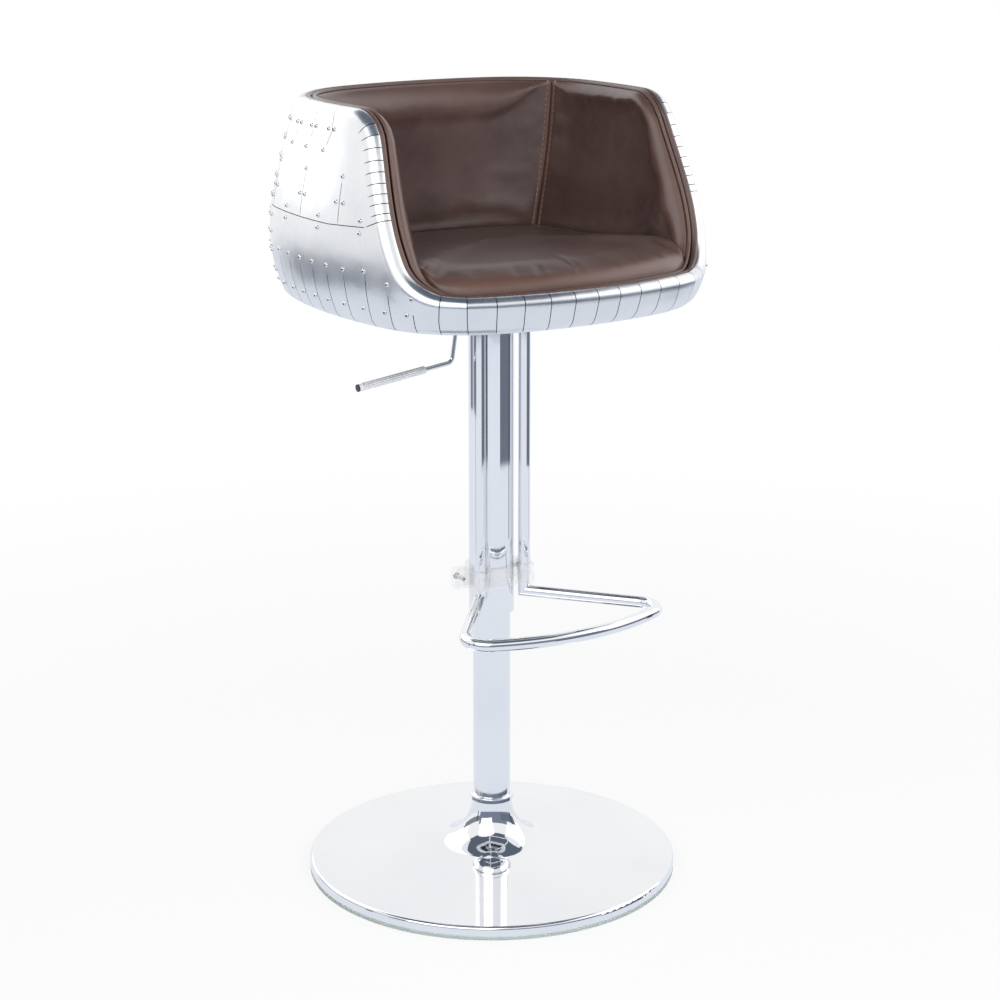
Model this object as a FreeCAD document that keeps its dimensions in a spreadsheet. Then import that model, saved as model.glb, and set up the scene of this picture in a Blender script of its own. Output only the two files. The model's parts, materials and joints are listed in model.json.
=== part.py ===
import FreeCAD, Part
import math
import os

# Swivel bar stool: trumpet base, gas-lift column, footrest and a riveted tub seat.
# Millimetres, +Z up. The origin is on the floor, on the column's axis. The seat faces -Y.
# The stool is drawn with its seat fully raised.

Vector = FreeCAD.Vector
X_AXIS = Vector(1, 0, 0)
Y_AXIS = Vector(0, 1, 0)
Z_AXIS = Vector(0, 0, 1)

doc = FreeCAD.newDocument("SwivelBarStool")
sheet = doc.addObject("Spreadsheet::Sheet", "Sizes")

DRIVING = [
    ("base_radius", 250, "edge of the trumpet base"),
    ("base_wall", 2, "sheet of the trumpet base"),
    ("base_edge", 7, "upright edge of the trumpet base"),
    ("base_edge_round", 5, "round above the upright edge"),
    ("base_slope", 6, "degrees that the disc rises towards the neck"),
    ("neck_height", 96, "top of the trumpet's neck above the floor"),
    ("floor_ring_height", 6, "soft ring under the base"),
    ("floor_ring_width", 14, "radial width of the soft ring"),
    ("bottom_plate_sheet", 3, "plate that closes the base"),
    ("plate_eye_radius", 14, "hole of the bottom plate under the rod"),
    ("weight_radius", 212, "outside of the iron weight"),
    ("weight_sheet", 8, "height of the iron weight"),
    ("flange_radius", 60, "flange under the column tube"),
    ("flange_sheet", 6, "height of the flange"),
    ("boss_height", 12, "boss inside the foot of the column tube"),
    ("boss_recess_radius", 12, "recess under the boss for the rod's clip"),
    ("boss_recess_depth", 4, "depth of that recess"),
    ("base_screw_circle", 45, "radius that the base screws lie on"),
    ("base_screw_radius", 4, "shank of a base screw"),
    ("base_screw_head", 7, "head radius of a base screw"),
    ("base_screw_head_height", 4, "head height of a base screw"),
    ("base_screw_reach", 8, "shank length of a base screw"),
    ("column_radius", 25, "outside of the column tube"),
    ("column_wall", 2, "wall of the column tube"),
    ("column_top", 470, "top of the column tube"),
    ("collar_height", 7, "collar on the neck"),
    ("collar_lip", 4.5, "how far the collar stands out from the tube"),
    ("collar_round", 2.5, "round on the collar's upper edge"),
    ("bush_length", 80, "guide bush inside the column"),
    ("bush_lip", 4, "lip of the guide bush on the column's top"),
    ("rod_radius", 5, "piston rod"),
    ("clip_ring_radius", 8.5, "clip that holds the rod"),
    ("clip_ring_sheet", 1.5, "sheet of that clip"),
    ("washer_radius", 18, "thrust washer"),
    ("washer_sheet", 3, "thrust washer's height"),
    ("bumper_radius", 12, "rubber bumper on the rod"),
    ("bumper_height", 12, "rubber bumper's height"),
    ("piston_height", 12, "piston's height"),
    ("cylinder_radius", 14, "gas cylinder"),
    ("cylinder_wall", 2, "gas cylinder's wall"),
    ("cylinder_low", 385, "lower end of the gas cylinder"),
    ("cylinder_cap", 6, "end cap of the gas cylinder"),
    ("piston_stop", 5, "space between piston and end cap"),
    ("taper_length", 39, "tapered top of the gas cylinder"),
    ("taper_drop", 1, "how much the taper narrows in radius"),
    ("taper_sink", 1, "how far the taper stays under the seat plate's lower face"),
    ("socket_wall", 7, "wall of the taper socket"),
    ("valve_radius", 3, "valve pin"),
    ("valve_length", 24, "valve pin's length"),
    ("valve_well", 30, "well for the valve pin in the cylinder's top"),
    ("sleeve_radius", 30, "outside of the wide sleeve tube"),
    ("sleeve_wall", 1.5, "wall of the sleeve tube"),
    ("sleeve_low", 366, "lower end of the sleeve tube"),
    ("sleeve_bush_length", 30, "bush in the sleeve's lower end"),
    ("seat_plate_length", 176, "seat plate along X"),
    ("seat_plate_depth", 150, "seat plate along Y"),
    ("seat_plate_sheet", 4, "seat plate's sheet"),
    ("seat_bolt_x", 70, "bolts from the middle along X"),
    ("seat_bolt_y", 55, "bolts from the middle along Y"),
    ("seat_bolt_radius", 4, "shank of a seat bolt"),
    ("seat_bolt_head", 7.5, "head radius of a seat bolt"),
    ("seat_bolt_head_height", 5.5, "head height of a seat bolt"),
    ("seat_bolt_reach", 16, "shank length of a seat bolt"),
    ("tube_radius", 8, "footrest tube"),
    ("tube_wall", 1.5, "footrest tube's wall"),
    ("hanger_x", 35, "hanger tubes from the middle along X"),
    ("hanger_y", 25.5, "hanger tubes in front of the column"),
    ("footrest_height", 393, "middle of the footrest ring's tube"),
    ("footrest_front", 222, "middle of the ring's tube at the front"),
    ("footrest_bow", 311, "radius of the ring's bowed front"),
    ("footrest_corner", 30, "radius of the ring's corners"),
    ("footrest_splay", 38.7, "degrees that the ring's arms spread from straight ahead"),
    ("clip_low", 405, "lower face of the guide clip"),
    ("clip_height", 26, "height of the guide clip"),
    ("clip_wall", 6, "plastic round the sleeve and the hangers"),
    ("clip_ear_reach", 58, "end of the clip's ears from the middle"),
    ("clip_ear_depth", 18, "ears across"),
    ("clip_split", 0.6, "slit between the clip's halves"),
    ("clip_screw_x", 49, "clip screws from the middle"),
    ("clip_screw_radius", 2.5, "shank of a clip screw"),
    ("clip_screw_head", 4.5, "head radius of a clip screw"),
    ("clip_screw_head_height", 3, "head height of a clip screw"),
    ("tub_bottom", 789, "underside of the tub"),
    ("hip_height", 39, "tub's lower curve above its underside"),
    ("bulge_height", 79, "tub's widest line above its underside"),
    ("chest_height", 171, "tub's upper curve above its underside"),
    ("rim_top", 1050, "rim at the back and the arms"),
    ("lip_height", 838, "rim at the front"),
    ("bottom_width", 237, "half width at the underside"),
    ("bottom_front", 228, "front of the underside"),
    ("bottom_back", 246, "back of the underside"),
    ("hip_width", 252, "half width at the lower curve"),
    ("hip_front", 243, "front of the lower curve"),
    ("hip_back", 261, "back of the lower curve"),
    ("bulge_width", 257, "half width at the widest line"),
    ("bulge_front", 246, "front of the widest line"),
    ("bulge_back", 266, "back of the widest line"),
    ("chest_width", 247, "half width at the upper curve"),
    ("chest_front", 240, "front of the upper curve"),
    ("chest_back", 250, "back of the upper curve"),
    ("rim_width", 231, "half width at the rim"),
    ("rim_front", 226, "front at the rim's height"),
    ("rim_back", 224, "back at the rim"),
    ("waist_y", 10, "widest line behind the column's axis"),
    ("side_bow", 600, "bow radius of the tub's sides"),
    ("front_bow", 520, "bow radius of the tub's front"),
    ("back_bow", 480, "bow radius of the tub's back"),
    ("front_corner", 140, "corner radius of the tub's front"),
    ("back_corner", 150, "corner radius of the tub's back"),
    ("arm_top_y", 75.7, "arm's sharp upper corner in front of the axis"),
    ("arm_foot_y", 164.9, "arm's sharp lower corner in front of the axis"),
    ("arm_round", 58, "radius at both ends of the arm's raked front"),
    ("bottom_round", 24, "round of the tub's lower edge"),
    ("rim_roll", 12, "roll of the cladding over the rim"),
    ("roll_edge", 10, "cladding's inner edge from the tub's outside"),
    ("cladding_sheet", 1.2, "aluminium sheet"),
    ("cladding_fit", 0.3, "between the cladding and the core"),
    ("panel_gap", 0.4, "open joint between two sheets"),
    ("rim_band", 30, "depth of the rim strips"),
    ("panel_seam", 911, "height of the level panel seam"),
    ("skirt_top", 862, "top of the skirt strips"),
    ("hem", 75, "how far the skirt strips reach under the tub"),
    ("strip_angle", 7.5, "degrees from one strip to the next"),
    ("back_seam_y", 138, "seam between the back and the arms behind the axis"),
    ("core_foot", 34, "core and cladding together at the underside"),
    ("core_hip", 30, "core and cladding together at the lower curve"),
    ("core_bulge", 26, "core and cladding together at the widest line"),
    ("core_chest", 22, "core and cladding together at the upper curve"),
    ("core_rim", 18, "core and cladding together at the rim"),
    ("core_front", 24, "core and cladding together at the front"),
    ("core_rebate", 2, "step in the core behind the rolled rim"),
    ("rebate_depth", 16, "foot of that step below the rim"),
    ("board_sheet", 18, "plywood seat board"),
    ("board_eye", 60, "hole in the seat board over the lift's valve"),
    ("leather_fit", 0.3, "between soft pieces and their neighbours"),
    ("border_depth", 9, "depth of the leather border"),
    ("border_width", 10.6, "width of the leather border"),
    ("piping_width", 5.4, "width of the piping"),
    ("pad_foot_side", 58, "inside of the arm pads from the tub's outside, underside"),
    ("pad_hip_side", 73, "the same, lower curve"),
    ("pad_bulge_side", 75, "the same, widest line"),
    ("pad_chest_side", 56, "the same, upper curve"),
    ("pad_rim_side", 36, "the same, rim"),
    ("pad_foot_back", 74, "inside of the back pad from the tub's outside, underside"),
    ("pad_hip_back", 89, "the same, lower curve"),
    ("pad_bulge_back", 92, "the same, widest line"),
    ("pad_chest_back", 73, "the same, upper curve"),
    ("pad_rim_back", 48, "the same, rim"),
    ("pad_front", 1.3, "front of the seat well behind the piping"),
    ("pad_corner", 62, "how much tighter the seat well's bows and front corners are"),
    ("pad_back_corner", 28, "radius of the seat well where the back meets an arm"),
    ("front_roll_half", 150, "half length of the front roll"),
    ("cushion_crown", 866, "top of the seat cushion"),
    ("cushion_dome", 1240, "radius of the cushion's crown"),
    ("cushion_round", 12, "round of the cushion's upper edge"),
    ("lever_rod_radius", 3, "lever rod"),
    ("lever_rise", 6.5, "lever rod's middle above the seat plate"),
    ("lever_reach", 5, "lever rod's inner end past the axis"),
    ("lever_pivot_x", 38, "pivot beside the axis"),
    ("lever_hub_radius", 4.5, "hub on the lever rod"),
    ("lever_hub_length", 10, "hub along the pivot"),
    ("pivot_radius", 2.5, "bore of the pivot"),
    ("bracket_ear", 3, "sheet of the bracket's ears"),
    ("bracket_length", 16, "bracket's ears along X"),
    ("bracket_height", 17, "bracket's ears above the seat plate"),
    ("lever_knee_x", 48, "upper bend of the rod"),
    ("lever_elbow_x", 61, "lower bend of the rod"),
    ("lever_elbow_z", 711, "height of the lower bend"),
    ("lever_bend", 8, "bend radius of the rod"),
    ("grip_start_x", 101, "grip's inner end"),
    ("grip_end_x", 199, "grip's outer end"),
    ("grip_slope", 7, "degrees that the grip drops"),
    ("grip_radius", 5.6, "grip over its corners"),
    ("grip_sides", 6, "flats round the grip"),
    ("grip_bore_depth", 15, "rod inside the grip"),
    ("grip_cap_sheet", 2, "cap on the grip's end"),
    ("rod_slot_radius", 7.5, "hole for the rod in the seat plate"),
    ("rivet_radius", 2.5, "dome of a rivet"),
    ("fit", 0.05, "running clearance on a radius"),
    ("seat_clearance", 0.3, "free space between close pieces"),
]


class Size:
    """A number together with the sheet expression that gives it."""

    def __init__(self, value, text):
        self.value = value
        self.text = text

    def __add__(self, other):
        other = as_size(other)
        return Size(self.value + other.value, "(%s + %s)" % (self.text, other.text))

    def __sub__(self, other):
        other = as_size(other)
        return Size(self.value - other.value, "(%s - %s)" % (self.text, other.text))

    def __mul__(self, factor):
        return Size(self.value * factor, "(%s * %s)" % (self.text, factor))

    def __neg__(self):
        return self * -1

    def __float__(self):
        return float(self.value)


def as_size(number):
    return number if isinstance(number, Size) else Size(number, str(number))


class Sizes:
    pass


size = Sizes()
mm = Sizes()
for row, (alias, value, meaning) in enumerate(DRIVING, start=1):
    sheet.set("A%d" % row, alias)
    sheet.set("B%d" % row, str(value))
    sheet.setAlias("B%d" % row, alias)
    sheet.set("C%d" % row, meaning)
    setattr(size, alias, Size(value, "Sizes." + alias))
    setattr(mm, alias, float(value))
doc.recompute()

nodes = []
OVERRUN = 1.0
FAR = 2 * mm.bulge_back


# Document helpers

def node(label, feature):
    feature.Label = label
    nodes.append(feature)
    return feature


def shape_node(label, shape):
    feature = doc.addObject("Part::Feature", label)
    feature.Shape = shape
    return node(label, feature)


def bind_place(feature, x, y, z):
    for name, number in (("x", x), ("y", y), ("z", z)):
        feature.setExpression("Placement.Base." + name, as_size(number).text)


def cylinder(name, radius, low, high, x=0, y=0):
    feature = doc.addObject("Part::Cylinder", name)
    feature.setExpression("Radius", as_size(radius).text)
    feature.setExpression("Height", (as_size(high) - low).text)
    bind_place(feature, x, y, low)
    return feature


def cross_cylinder(name, radius, length, x, y, z):
    # A cylinder along Y that starts at y and runs towards +Y.
    feature = doc.addObject("Part::Cylinder", name)
    feature.Placement = FreeCAD.Placement(Vector(), FreeCAD.Rotation(X_AXIS, -90))
    feature.setExpression("Radius", as_size(radius).text)
    feature.setExpression("Height", as_size(length).text)
    bind_place(feature, x, y, z)
    return feature


def box(name, length, width, height, x, y, z):
    feature = doc.addObject("Part::Box", name)
    feature.setExpression("Length", as_size(length).text)
    feature.setExpression("Width", as_size(width).text)
    feature.setExpression("Height", as_size(height).text)
    bind_place(feature, x, y, z)
    return feature


def joined(name, pieces):
    if len(pieces) == 1:
        return pieces[0]
    feature = doc.addObject("Part::MultiFuse", name)
    feature.Shapes = pieces
    return feature


def carved(name, solid, holes):
    feature = doc.addObject("Part::Cut", name)
    feature.Base = solid
    feature.Tool = joined(name + "_holes", holes)
    return feature


def grouped(name, pieces):
    feature = doc.addObject("Part::Compound", name)
    feature.Links = pieces
    return feature


def hole(name, radius, low, high, x=0, y=0):
    return cylinder(name, radius, as_size(low) - OVERRUN, as_size(high) + OVERRUN, x, y)


def ring(name, outer, inner, low, high):
    return carved(name, cylinder(name + "_outside", outer, low, high), [hole(name + "_bore", inner, low, high)])


def profile_edges(points):
    # A point is (radius, height). A point (radius, height, "arc") is the middle of an arc between its neighbours.
    flat = [Vector(point[0], point[1], 0) for point in points]
    edges = []
    index = 0
    while index < len(points):
        after = (index + 1) % len(points)
        if len(points[after]) == 3:
            end = (index + 2) % len(points)
            edges.append(Part.Arc(flat[index], flat[after], flat[end]))
            index += 2
        else:
            edges.append(Part.LineSegment(flat[index], flat[after]))
            index += 1
    return edges


def revolved(label, points):
    body = doc.addObject("PartDesign::Body", label)
    sketch = body.newObject("Sketcher::SketchObject", label + "_profile")
    upright = [plane for plane in body.Origin.OriginFeatures if plane.Role == "XZ_Plane"][0]
    sketch.AttachmentSupport = [(upright, "")]
    sketch.MapMode = "FlatFace"
    sketch.addGeometry(profile_edges(points), False)
    turn = body.newObject("PartDesign::Revolution", label + "_turn")
    turn.Profile = sketch
    turn.ReferenceAxis = (sketch, ["V_Axis"])
    turn.Angle = 360
    body.Tip = turn
    return node(label, body)


def arc_point(x, y, radius, degrees):
    angle = math.radians(degrees)
    return (x + radius * math.cos(angle), y + radius * math.sin(angle))


# Trumpet base

base_low = size.floor_ring_height
plate_top = base_low + size.bottom_plate_sheet
flange_top = plate_top + size.flange_sheet
boss_top = flange_top + size.boss_height
screw_places = [(1, 1), (-1, 1), (-1, -1), (1, -1)]
screw_offset = size.base_screw_circle * math.sqrt(0.5)


def base_shell():
    slope = math.radians(mm.base_slope)
    neck = mm.column_radius + mm.seat_clearance + mm.base_wall
    edge_low = mm.floor_ring_height
    edge_high = edge_low + mm.base_edge
    top_radius = mm.base_radius - mm.base_edge_round
    top_height = edge_high + mm.base_edge_round
    # The flare is one arc, upright at the neck and in line with the sloping disc at its foot.
    rise = mm.neck_height - top_height - (top_radius - neck) * math.tan(slope)
    flare = rise / (math.cos(slope) - (1 - math.sin(slope)) * math.tan(slope))
    middle = (neck + flare, mm.neck_height)
    foot_angle = 270 - mm.base_slope
    halfway = (180 + foot_angle) / 2
    outer = flare
    inner = flare + mm.base_wall
    edge_middle = (top_radius, edge_high)
    wall = mm.base_wall
    revolved("base_shell", [
        (mm.base_radius, edge_low),
        (mm.base_radius, edge_high),
        arc_point(*edge_middle, mm.base_edge_round, 45) + ("arc",),
        (top_radius, top_height),
        arc_point(*middle, outer, foot_angle),
        arc_point(*middle, outer, halfway) + ("arc",),
        (neck, mm.neck_height),
        (neck - wall, mm.neck_height),
        arc_point(*middle, inner, halfway) + ("arc",),
        arc_point(*middle, inner, foot_angle),
        (top_radius, top_height - wall),
        arc_point(*edge_middle, mm.base_edge_round - wall, 45) + ("arc",),
        (mm.base_radius - wall, edge_high),
        (mm.base_radius - wall, edge_low),
    ])


def base_pieces():
    node("floor_ring", ring("floor_ring_solid", size.base_radius, size.base_radius - size.floor_ring_width,
                            0, base_low))
    plate_holes = [hole("plate_eye", size.plate_eye_radius, base_low, plate_top)]
    flange_holes = [
        hole("rod_bore", size.rod_radius + size.fit, plate_top, boss_top),
        cylinder("clip_recess", size.boss_recess_radius, plate_top - OVERRUN, plate_top + size.boss_recess_depth),
    ]
    screws = []
    for index, (sign_x, sign_y) in enumerate(screw_places):
        x = screw_offset * sign_x
        y = screw_offset * sign_y
        clear = size.base_screw_radius + size.fit
        plate_holes.append(hole("plate_screw_hole_%d" % index, clear, base_low, plate_top, x, y))
        flange_holes.append(hole("flange_screw_hole_%d" % index, clear, plate_top, flange_top, x, y))
        head = cylinder("base_screw_head_%d" % index, size.base_screw_head,
                        base_low - size.base_screw_head_height, base_low, x, y)
        shank = cylinder("base_screw_shank_%d" % index, size.base_screw_radius,
                         base_low, base_low + size.base_screw_reach, x, y)
        screws.append(joined("base_screw_%d" % index, [head, shank]))
    plate_radius = size.base_radius - size.base_wall - size.seat_clearance
    node("bottom_plate", carved("bottom_plate_solid",
                                cylinder("bottom_plate_disc", plate_radius, base_low, plate_top), plate_holes))
    node("base_weight", ring("base_weight_solid", size.weight_radius, size.flange_radius + OVERRUN,
                             plate_top, plate_top + size.weight_sheet))
    boss_radius = size.column_radius - size.column_wall - size.fit
    flange = joined("flange_solid", [cylinder("flange_disc", size.flange_radius, plate_top, flange_top),
                                     cylinder("flange_boss", boss_radius, plate_top, boss_top)])
    node("column_flange", carved("column_flange_solid", flange, flange_holes))
    node("base_screws", grouped("base_screw_group", screws))
    node("column_tube", ring("column_tube_solid", size.column_radius, size.column_radius - size.column_wall,
                             flange_top, size.column_top))


def collar_and_bush():
    bore = mm.column_radius + mm.fit
    outside = mm.column_radius + mm.collar_lip
    low = mm.neck_height
    high = low + mm.collar_height
    middle = (outside - mm.collar_round, high - mm.collar_round)
    revolved("neck_collar", [
        (bore, low),
        (outside, low),
        (outside, middle[1]),
        arc_point(*middle, mm.collar_round, 45) + ("arc",),
        (middle[0], high),
        (bore, high),
    ])
    bush_bore = mm.cylinder_radius + mm.fit
    bush_outside = mm.column_radius - mm.column_wall - mm.fit
    revolved("guide_bush", [
        (bush_bore, mm.column_top - mm.bush_length),
        (bush_outside, mm.column_top - mm.bush_length),
        (bush_outside, mm.column_top),
        (mm.column_radius, mm.column_top),
        (mm.column_radius, mm.column_top + mm.bush_lip),
        (bush_bore, mm.column_top + mm.bush_lip),
    ])


# Gas lift

seat_plate_low = size.tub_bottom - size.seat_plate_sheet
taper_top = mm.tub_bottom - mm.seat_plate_sheet - mm.taper_sink


def spindle_pieces():
    piston_low = size.cylinder_low + size.cylinder_cap + size.piston_stop
    piston_top = piston_low + size.piston_height
    rod_bore = size.rod_radius + size.fit
    clip_top = plate_top + size.boss_recess_depth - size.fit
    washer_low = boss_top + size.fit
    washer_top = washer_low + size.washer_sheet
    node("piston_rod", cylinder("piston_rod_solid", size.rod_radius, plate_top, piston_top))
    node("retaining_clip", ring("retaining_clip_solid", size.clip_ring_radius, rod_bore,
                                clip_top - size.clip_ring_sheet, clip_top))
    node("thrust_washer", ring("thrust_washer_solid", size.washer_radius, rod_bore, washer_low, washer_top))
    node("rod_bumper", ring("rod_bumper_solid", size.bumper_radius, rod_bore, washer_top,
                            washer_top + size.bumper_height))
    node("piston", ring("piston_solid", size.cylinder_radius - size.cylinder_wall - size.fit, rod_bore,
                        piston_low, piston_top))


def gas_cylinder():
    outside = mm.cylinder_radius
    inside = outside - mm.cylinder_wall
    tip = outside - mm.taper_drop
    low = mm.cylinder_low
    taper_low = taper_top - mm.taper_length
    well = mm.valve_radius + mm.fit
    gas_top = taper_top - mm.valve_well - mm.cylinder_cap
    revolved("gas_cylinder", [
        (0, taper_top - mm.valve_well),
        (well, taper_top - mm.valve_well),
        (well, taper_top),
        (tip, taper_top),
        (outside, taper_low),
        (outside, low),
        (mm.rod_radius + mm.fit, low),
        (mm.rod_radius + mm.fit, low + mm.cylinder_cap),
        (inside, low + mm.cylinder_cap),
        (inside, gas_top),
        (0, gas_top),
    ])
    revolved("taper_socket", [
        (outside + mm.fit, taper_low),
        (outside + mm.socket_wall, taper_low),
        (outside + mm.socket_wall, float(seat_plate_low)),
        (tip + mm.fit, float(seat_plate_low)),
        (tip + mm.fit, taper_top),
    ])


def lift_tubes():
    node("sleeve_tube", ring("sleeve_tube_solid", size.sleeve_radius, size.sleeve_radius - size.sleeve_wall,
                             size.sleeve_low, seat_plate_low))
    node("sleeve_bush", ring("sleeve_bush_solid", size.sleeve_radius - size.sleeve_wall - size.fit,
                             size.column_radius + size.fit, size.sleeve_low,
                             size.sleeve_low + size.sleeve_bush_length))


# Seat plate, bolts and lever

lever_z = size.tub_bottom + size.lever_rise
pivot_z = lever_z + size.lever_rod_radius + size.lever_hub_radius - OVERRUN
pin_radius = size.pivot_radius - size.fit
bolt_places = [(sign_x, sign_y) for sign_x in (-1, 1) for sign_y in (-1, 1)]


def bolt_holes(name, clear, low, high):
    holes = []
    for index, (sign_x, sign_y) in enumerate(bolt_places):
        holes.append(hole("%s_%d" % (name, index), size.seat_bolt_radius + clear, low, high,
                          size.seat_bolt_x * sign_x, size.seat_bolt_y * sign_y))
    return holes


def seat_plate_pieces():
    plate = box("seat_plate_sheet_box", size.seat_plate_length, size.seat_plate_depth, size.seat_plate_sheet,
                size.seat_plate_length * -0.5, size.seat_plate_depth * -0.5, seat_plate_low)
    eye_radius = size.cylinder_radius + size.seat_clearance
    holes = bolt_holes("seat_plate_hole", size.seat_clearance, seat_plate_low, size.tub_bottom)
    holes.append(hole("seat_plate_eye", eye_radius, seat_plate_low, size.tub_bottom))
    holes.append(hole("seat_plate_slot", size.rod_slot_radius, seat_plate_low, size.tub_bottom,
                      -size.lever_knee_x - OVERRUN))
    node("seat_plate", carved("seat_plate_solid", plate, holes))
    bolts = []
    for index, (sign_x, sign_y) in enumerate(bolt_places):
        x = size.seat_bolt_x * sign_x
        y = size.seat_bolt_y * sign_y
        head = cylinder("seat_bolt_head_%d" % index, size.seat_bolt_head,
                        seat_plate_low - size.seat_bolt_head_height, seat_plate_low, x, y)
        shank = cylinder("seat_bolt_shank_%d" % index, size.seat_bolt_radius, seat_plate_low,
                         seat_plate_low + size.seat_bolt_reach, x, y)
        bolts.append(joined("seat_bolt_%d" % index, [head, shank]))
    node("seat_bolts", grouped("seat_bolt_group", bolts))
    ear_start = size.lever_hub_length * 0.5 + size.seat_clearance
    ears = []
    for name, y in (("bracket_ear_rear", ear_start), ("bracket_ear_front", -ear_start - size.bracket_ear)):
        ears.append(box(name, size.bracket_length, size.bracket_ear, size.bracket_height,
                        -size.lever_pivot_x - size.bracket_length * 0.5, y, size.tub_bottom))
    reach = ear_start + size.bracket_ear
    pin_hole = cross_cylinder("bracket_pin_hole", size.pivot_radius, (reach + OVERRUN) * 2,
                              -size.lever_pivot_x, -reach - OVERRUN, pivot_z)
    node("lever_bracket", carved("lever_bracket_solid", grouped("bracket_ears", ears), [pin_hole]))
    node("lever_pin", cross_cylinder("lever_pin_solid", pin_radius, reach * 2, -size.lever_pivot_x, -reach, pivot_z))


def rounded_path(points, radius):
    # Straight runs joined by tangent arcs of one radius.
    edges = []
    start = points[0]
    for before, corner, after in zip(points, points[1:], points[2:]):
        inward = (before - corner).normalize()
        outward = (after - corner).normalize()
        half = inward.getAngle(outward) / 2
        trim = radius / math.tan(half)
        middle_way = (inward + outward).normalize()
        arc_middle = corner + middle_way * (radius / math.sin(half) - radius)
        edges.append(Part.makeLine(start, corner + inward * trim))
        edges.append(Part.Arc(corner + inward * trim, arc_middle, corner + outward * trim).toShape())
        start = corner + outward * trim
    edges.append(Part.makeLine(start, points[-1]))
    return Part.Wire(edges)


def pipe(path, radius):
    first = path.OrderedEdges[0]
    start = first.valueAt(first.FirstParameter)
    section = Part.Wire([Part.makeCircle(radius, start, first.tangentAt(first.FirstParameter))])
    solid = path.makePipeShell([section], True, False)
    expected = math.pi * radius ** 2 * path.Length
    print("pipe volume against section times length: %.4f" % (solid.Volume / expected))
    return solid


def lever_pieces():
    height = float(lever_z)
    slope = math.radians(mm.grip_slope)
    along = Vector(-math.cos(slope), 0, -math.sin(slope))
    elbow = Vector(-mm.lever_elbow_x, 0, mm.lever_elbow_z)
    grip_start = elbow + along * ((mm.grip_start_x - mm.lever_elbow_x) / math.cos(slope))
    grip_length = (mm.grip_end_x - mm.grip_start_x) / math.cos(slope)
    rod_end = grip_start + along * mm.grip_bore_depth
    knee = Vector(-mm.lever_knee_x, 0, height)
    rod = pipe(rounded_path([Vector(mm.lever_reach, 0, height), knee, elbow, rod_end], mm.lever_bend),
               mm.lever_rod_radius)
    shape_node("lever_rod", rod)
    hub_start = Vector(-mm.lever_pivot_x, -mm.lever_hub_length / 2, float(pivot_z))
    hub = Part.makeCylinder(mm.lever_hub_radius, mm.lever_hub_length, hub_start, Y_AXIS)
    hub = hub.cut(Part.makeCylinder(mm.pivot_radius, mm.lever_hub_length, hub_start, Y_AXIS)).cut(rod)
    shape_node("lever_hub", hub)
    sides = int(mm.grip_sides)
    across = Y_AXIS.cross(along)
    corners = []
    for index in range(sides + 1):
        angle = 2 * math.pi * index / sides
        corners.append(grip_start + (Y_AXIS * math.cos(angle) + across * math.sin(angle)) * mm.grip_radius)
    bar = Part.Face(Part.makePolygon(corners)).extrude(along * grip_length)
    bore = Part.makeCylinder(mm.lever_rod_radius + mm.fit, mm.grip_bore_depth, grip_start, along)
    shape_node("lever_grip", bar.cut(bore))
    inscribed = mm.grip_radius * math.cos(math.pi / sides)
    shape_node("grip_cap", Part.makeCylinder(inscribed, mm.grip_cap_sheet, grip_start + along * grip_length, along))


def valve_pin():
    top = lever_z - size.lever_rod_radius - size.seat_clearance - size.fit
    node("valve_pin", cylinder("valve_pin_solid", size.valve_radius, top - size.valve_length, top))


# Footrest and guide clip

def footrest_path(height, overrun):
    splay = math.radians(mm.footrest_splay)
    along = Vector(math.sin(splay), -math.cos(splay), 0)
    inward = Vector(-math.cos(splay), -math.sin(splay), 0)
    corner = mm.footrest_corner
    bow = mm.footrest_bow
    bow_middle = Vector(0, bow - mm.footrest_front, height)
    hanger = Vector(mm.hanger_x, -mm.hanger_y, height)
    # The corner arc touches the straight arm and, from inside, the bowed front.
    start = hanger + inward * corner - bow_middle
    half_b = start.dot(along)
    run = -half_b + math.sqrt(half_b ** 2 - start.dot(start) + (bow - corner) ** 2)
    corner_middle = hanger + along * run + inward * corner
    touch_line = hanger + along * run
    outward = (corner_middle - bow_middle).normalize()
    touch_bow = bow_middle + outward * bow
    between = (outward - inward).normalize()
    corner_arc_middle = corner_middle + between * corner

    def mirrored(point):
        return Vector(-point.x, point.y, point.z)

    loose_end = hanger - along * overrun
    front = bow_middle - Y_AXIS * bow
    return Part.Wire([
        Part.makeLine(loose_end, touch_line),
        Part.Arc(touch_line, corner_arc_middle, touch_bow).toShape(),
        Part.Arc(touch_bow, front, mirrored(touch_bow)).toShape(),
        Part.Arc(mirrored(touch_bow), mirrored(corner_arc_middle), mirrored(touch_line)).toShape(),
        Part.makeLine(mirrored(touch_line), mirrored(loose_end)),
    ]), along


def footrest_pieces():
    height = mm.footrest_height
    overrun = 2 * mm.tube_radius
    path, along = footrest_path(height, overrun)
    loop = pipe(path, mm.tube_radius).cut(pipe(path, mm.tube_radius - mm.tube_wall))
    reach = 4 * mm.tube_radius
    for side, name in ((1, "left"), (-1, "right")):
        foot = Vector(side * mm.hanger_x, -mm.hanger_y, height)
        mitre = (Vector(side * along.x, along.y, 0) - Z_AXIS).normalize()
        low = foot - Z_AXIS * overrun
        length = float(seat_plate_low) - low.z
        hanger = Part.makeCylinder(mm.tube_radius, length, low)
        hanger = hanger.cut(Part.makeCylinder(mm.tube_radius - mm.tube_wall, length, low))
        shape_node("hanger_" + name, hanger.cut(Part.makeCylinder(reach, reach, foot, mitre)))
        loop = loop.cut(Part.makeCylinder(reach, reach, foot, mitre * -1))
    shape_node("footrest_ring", loop)


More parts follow.
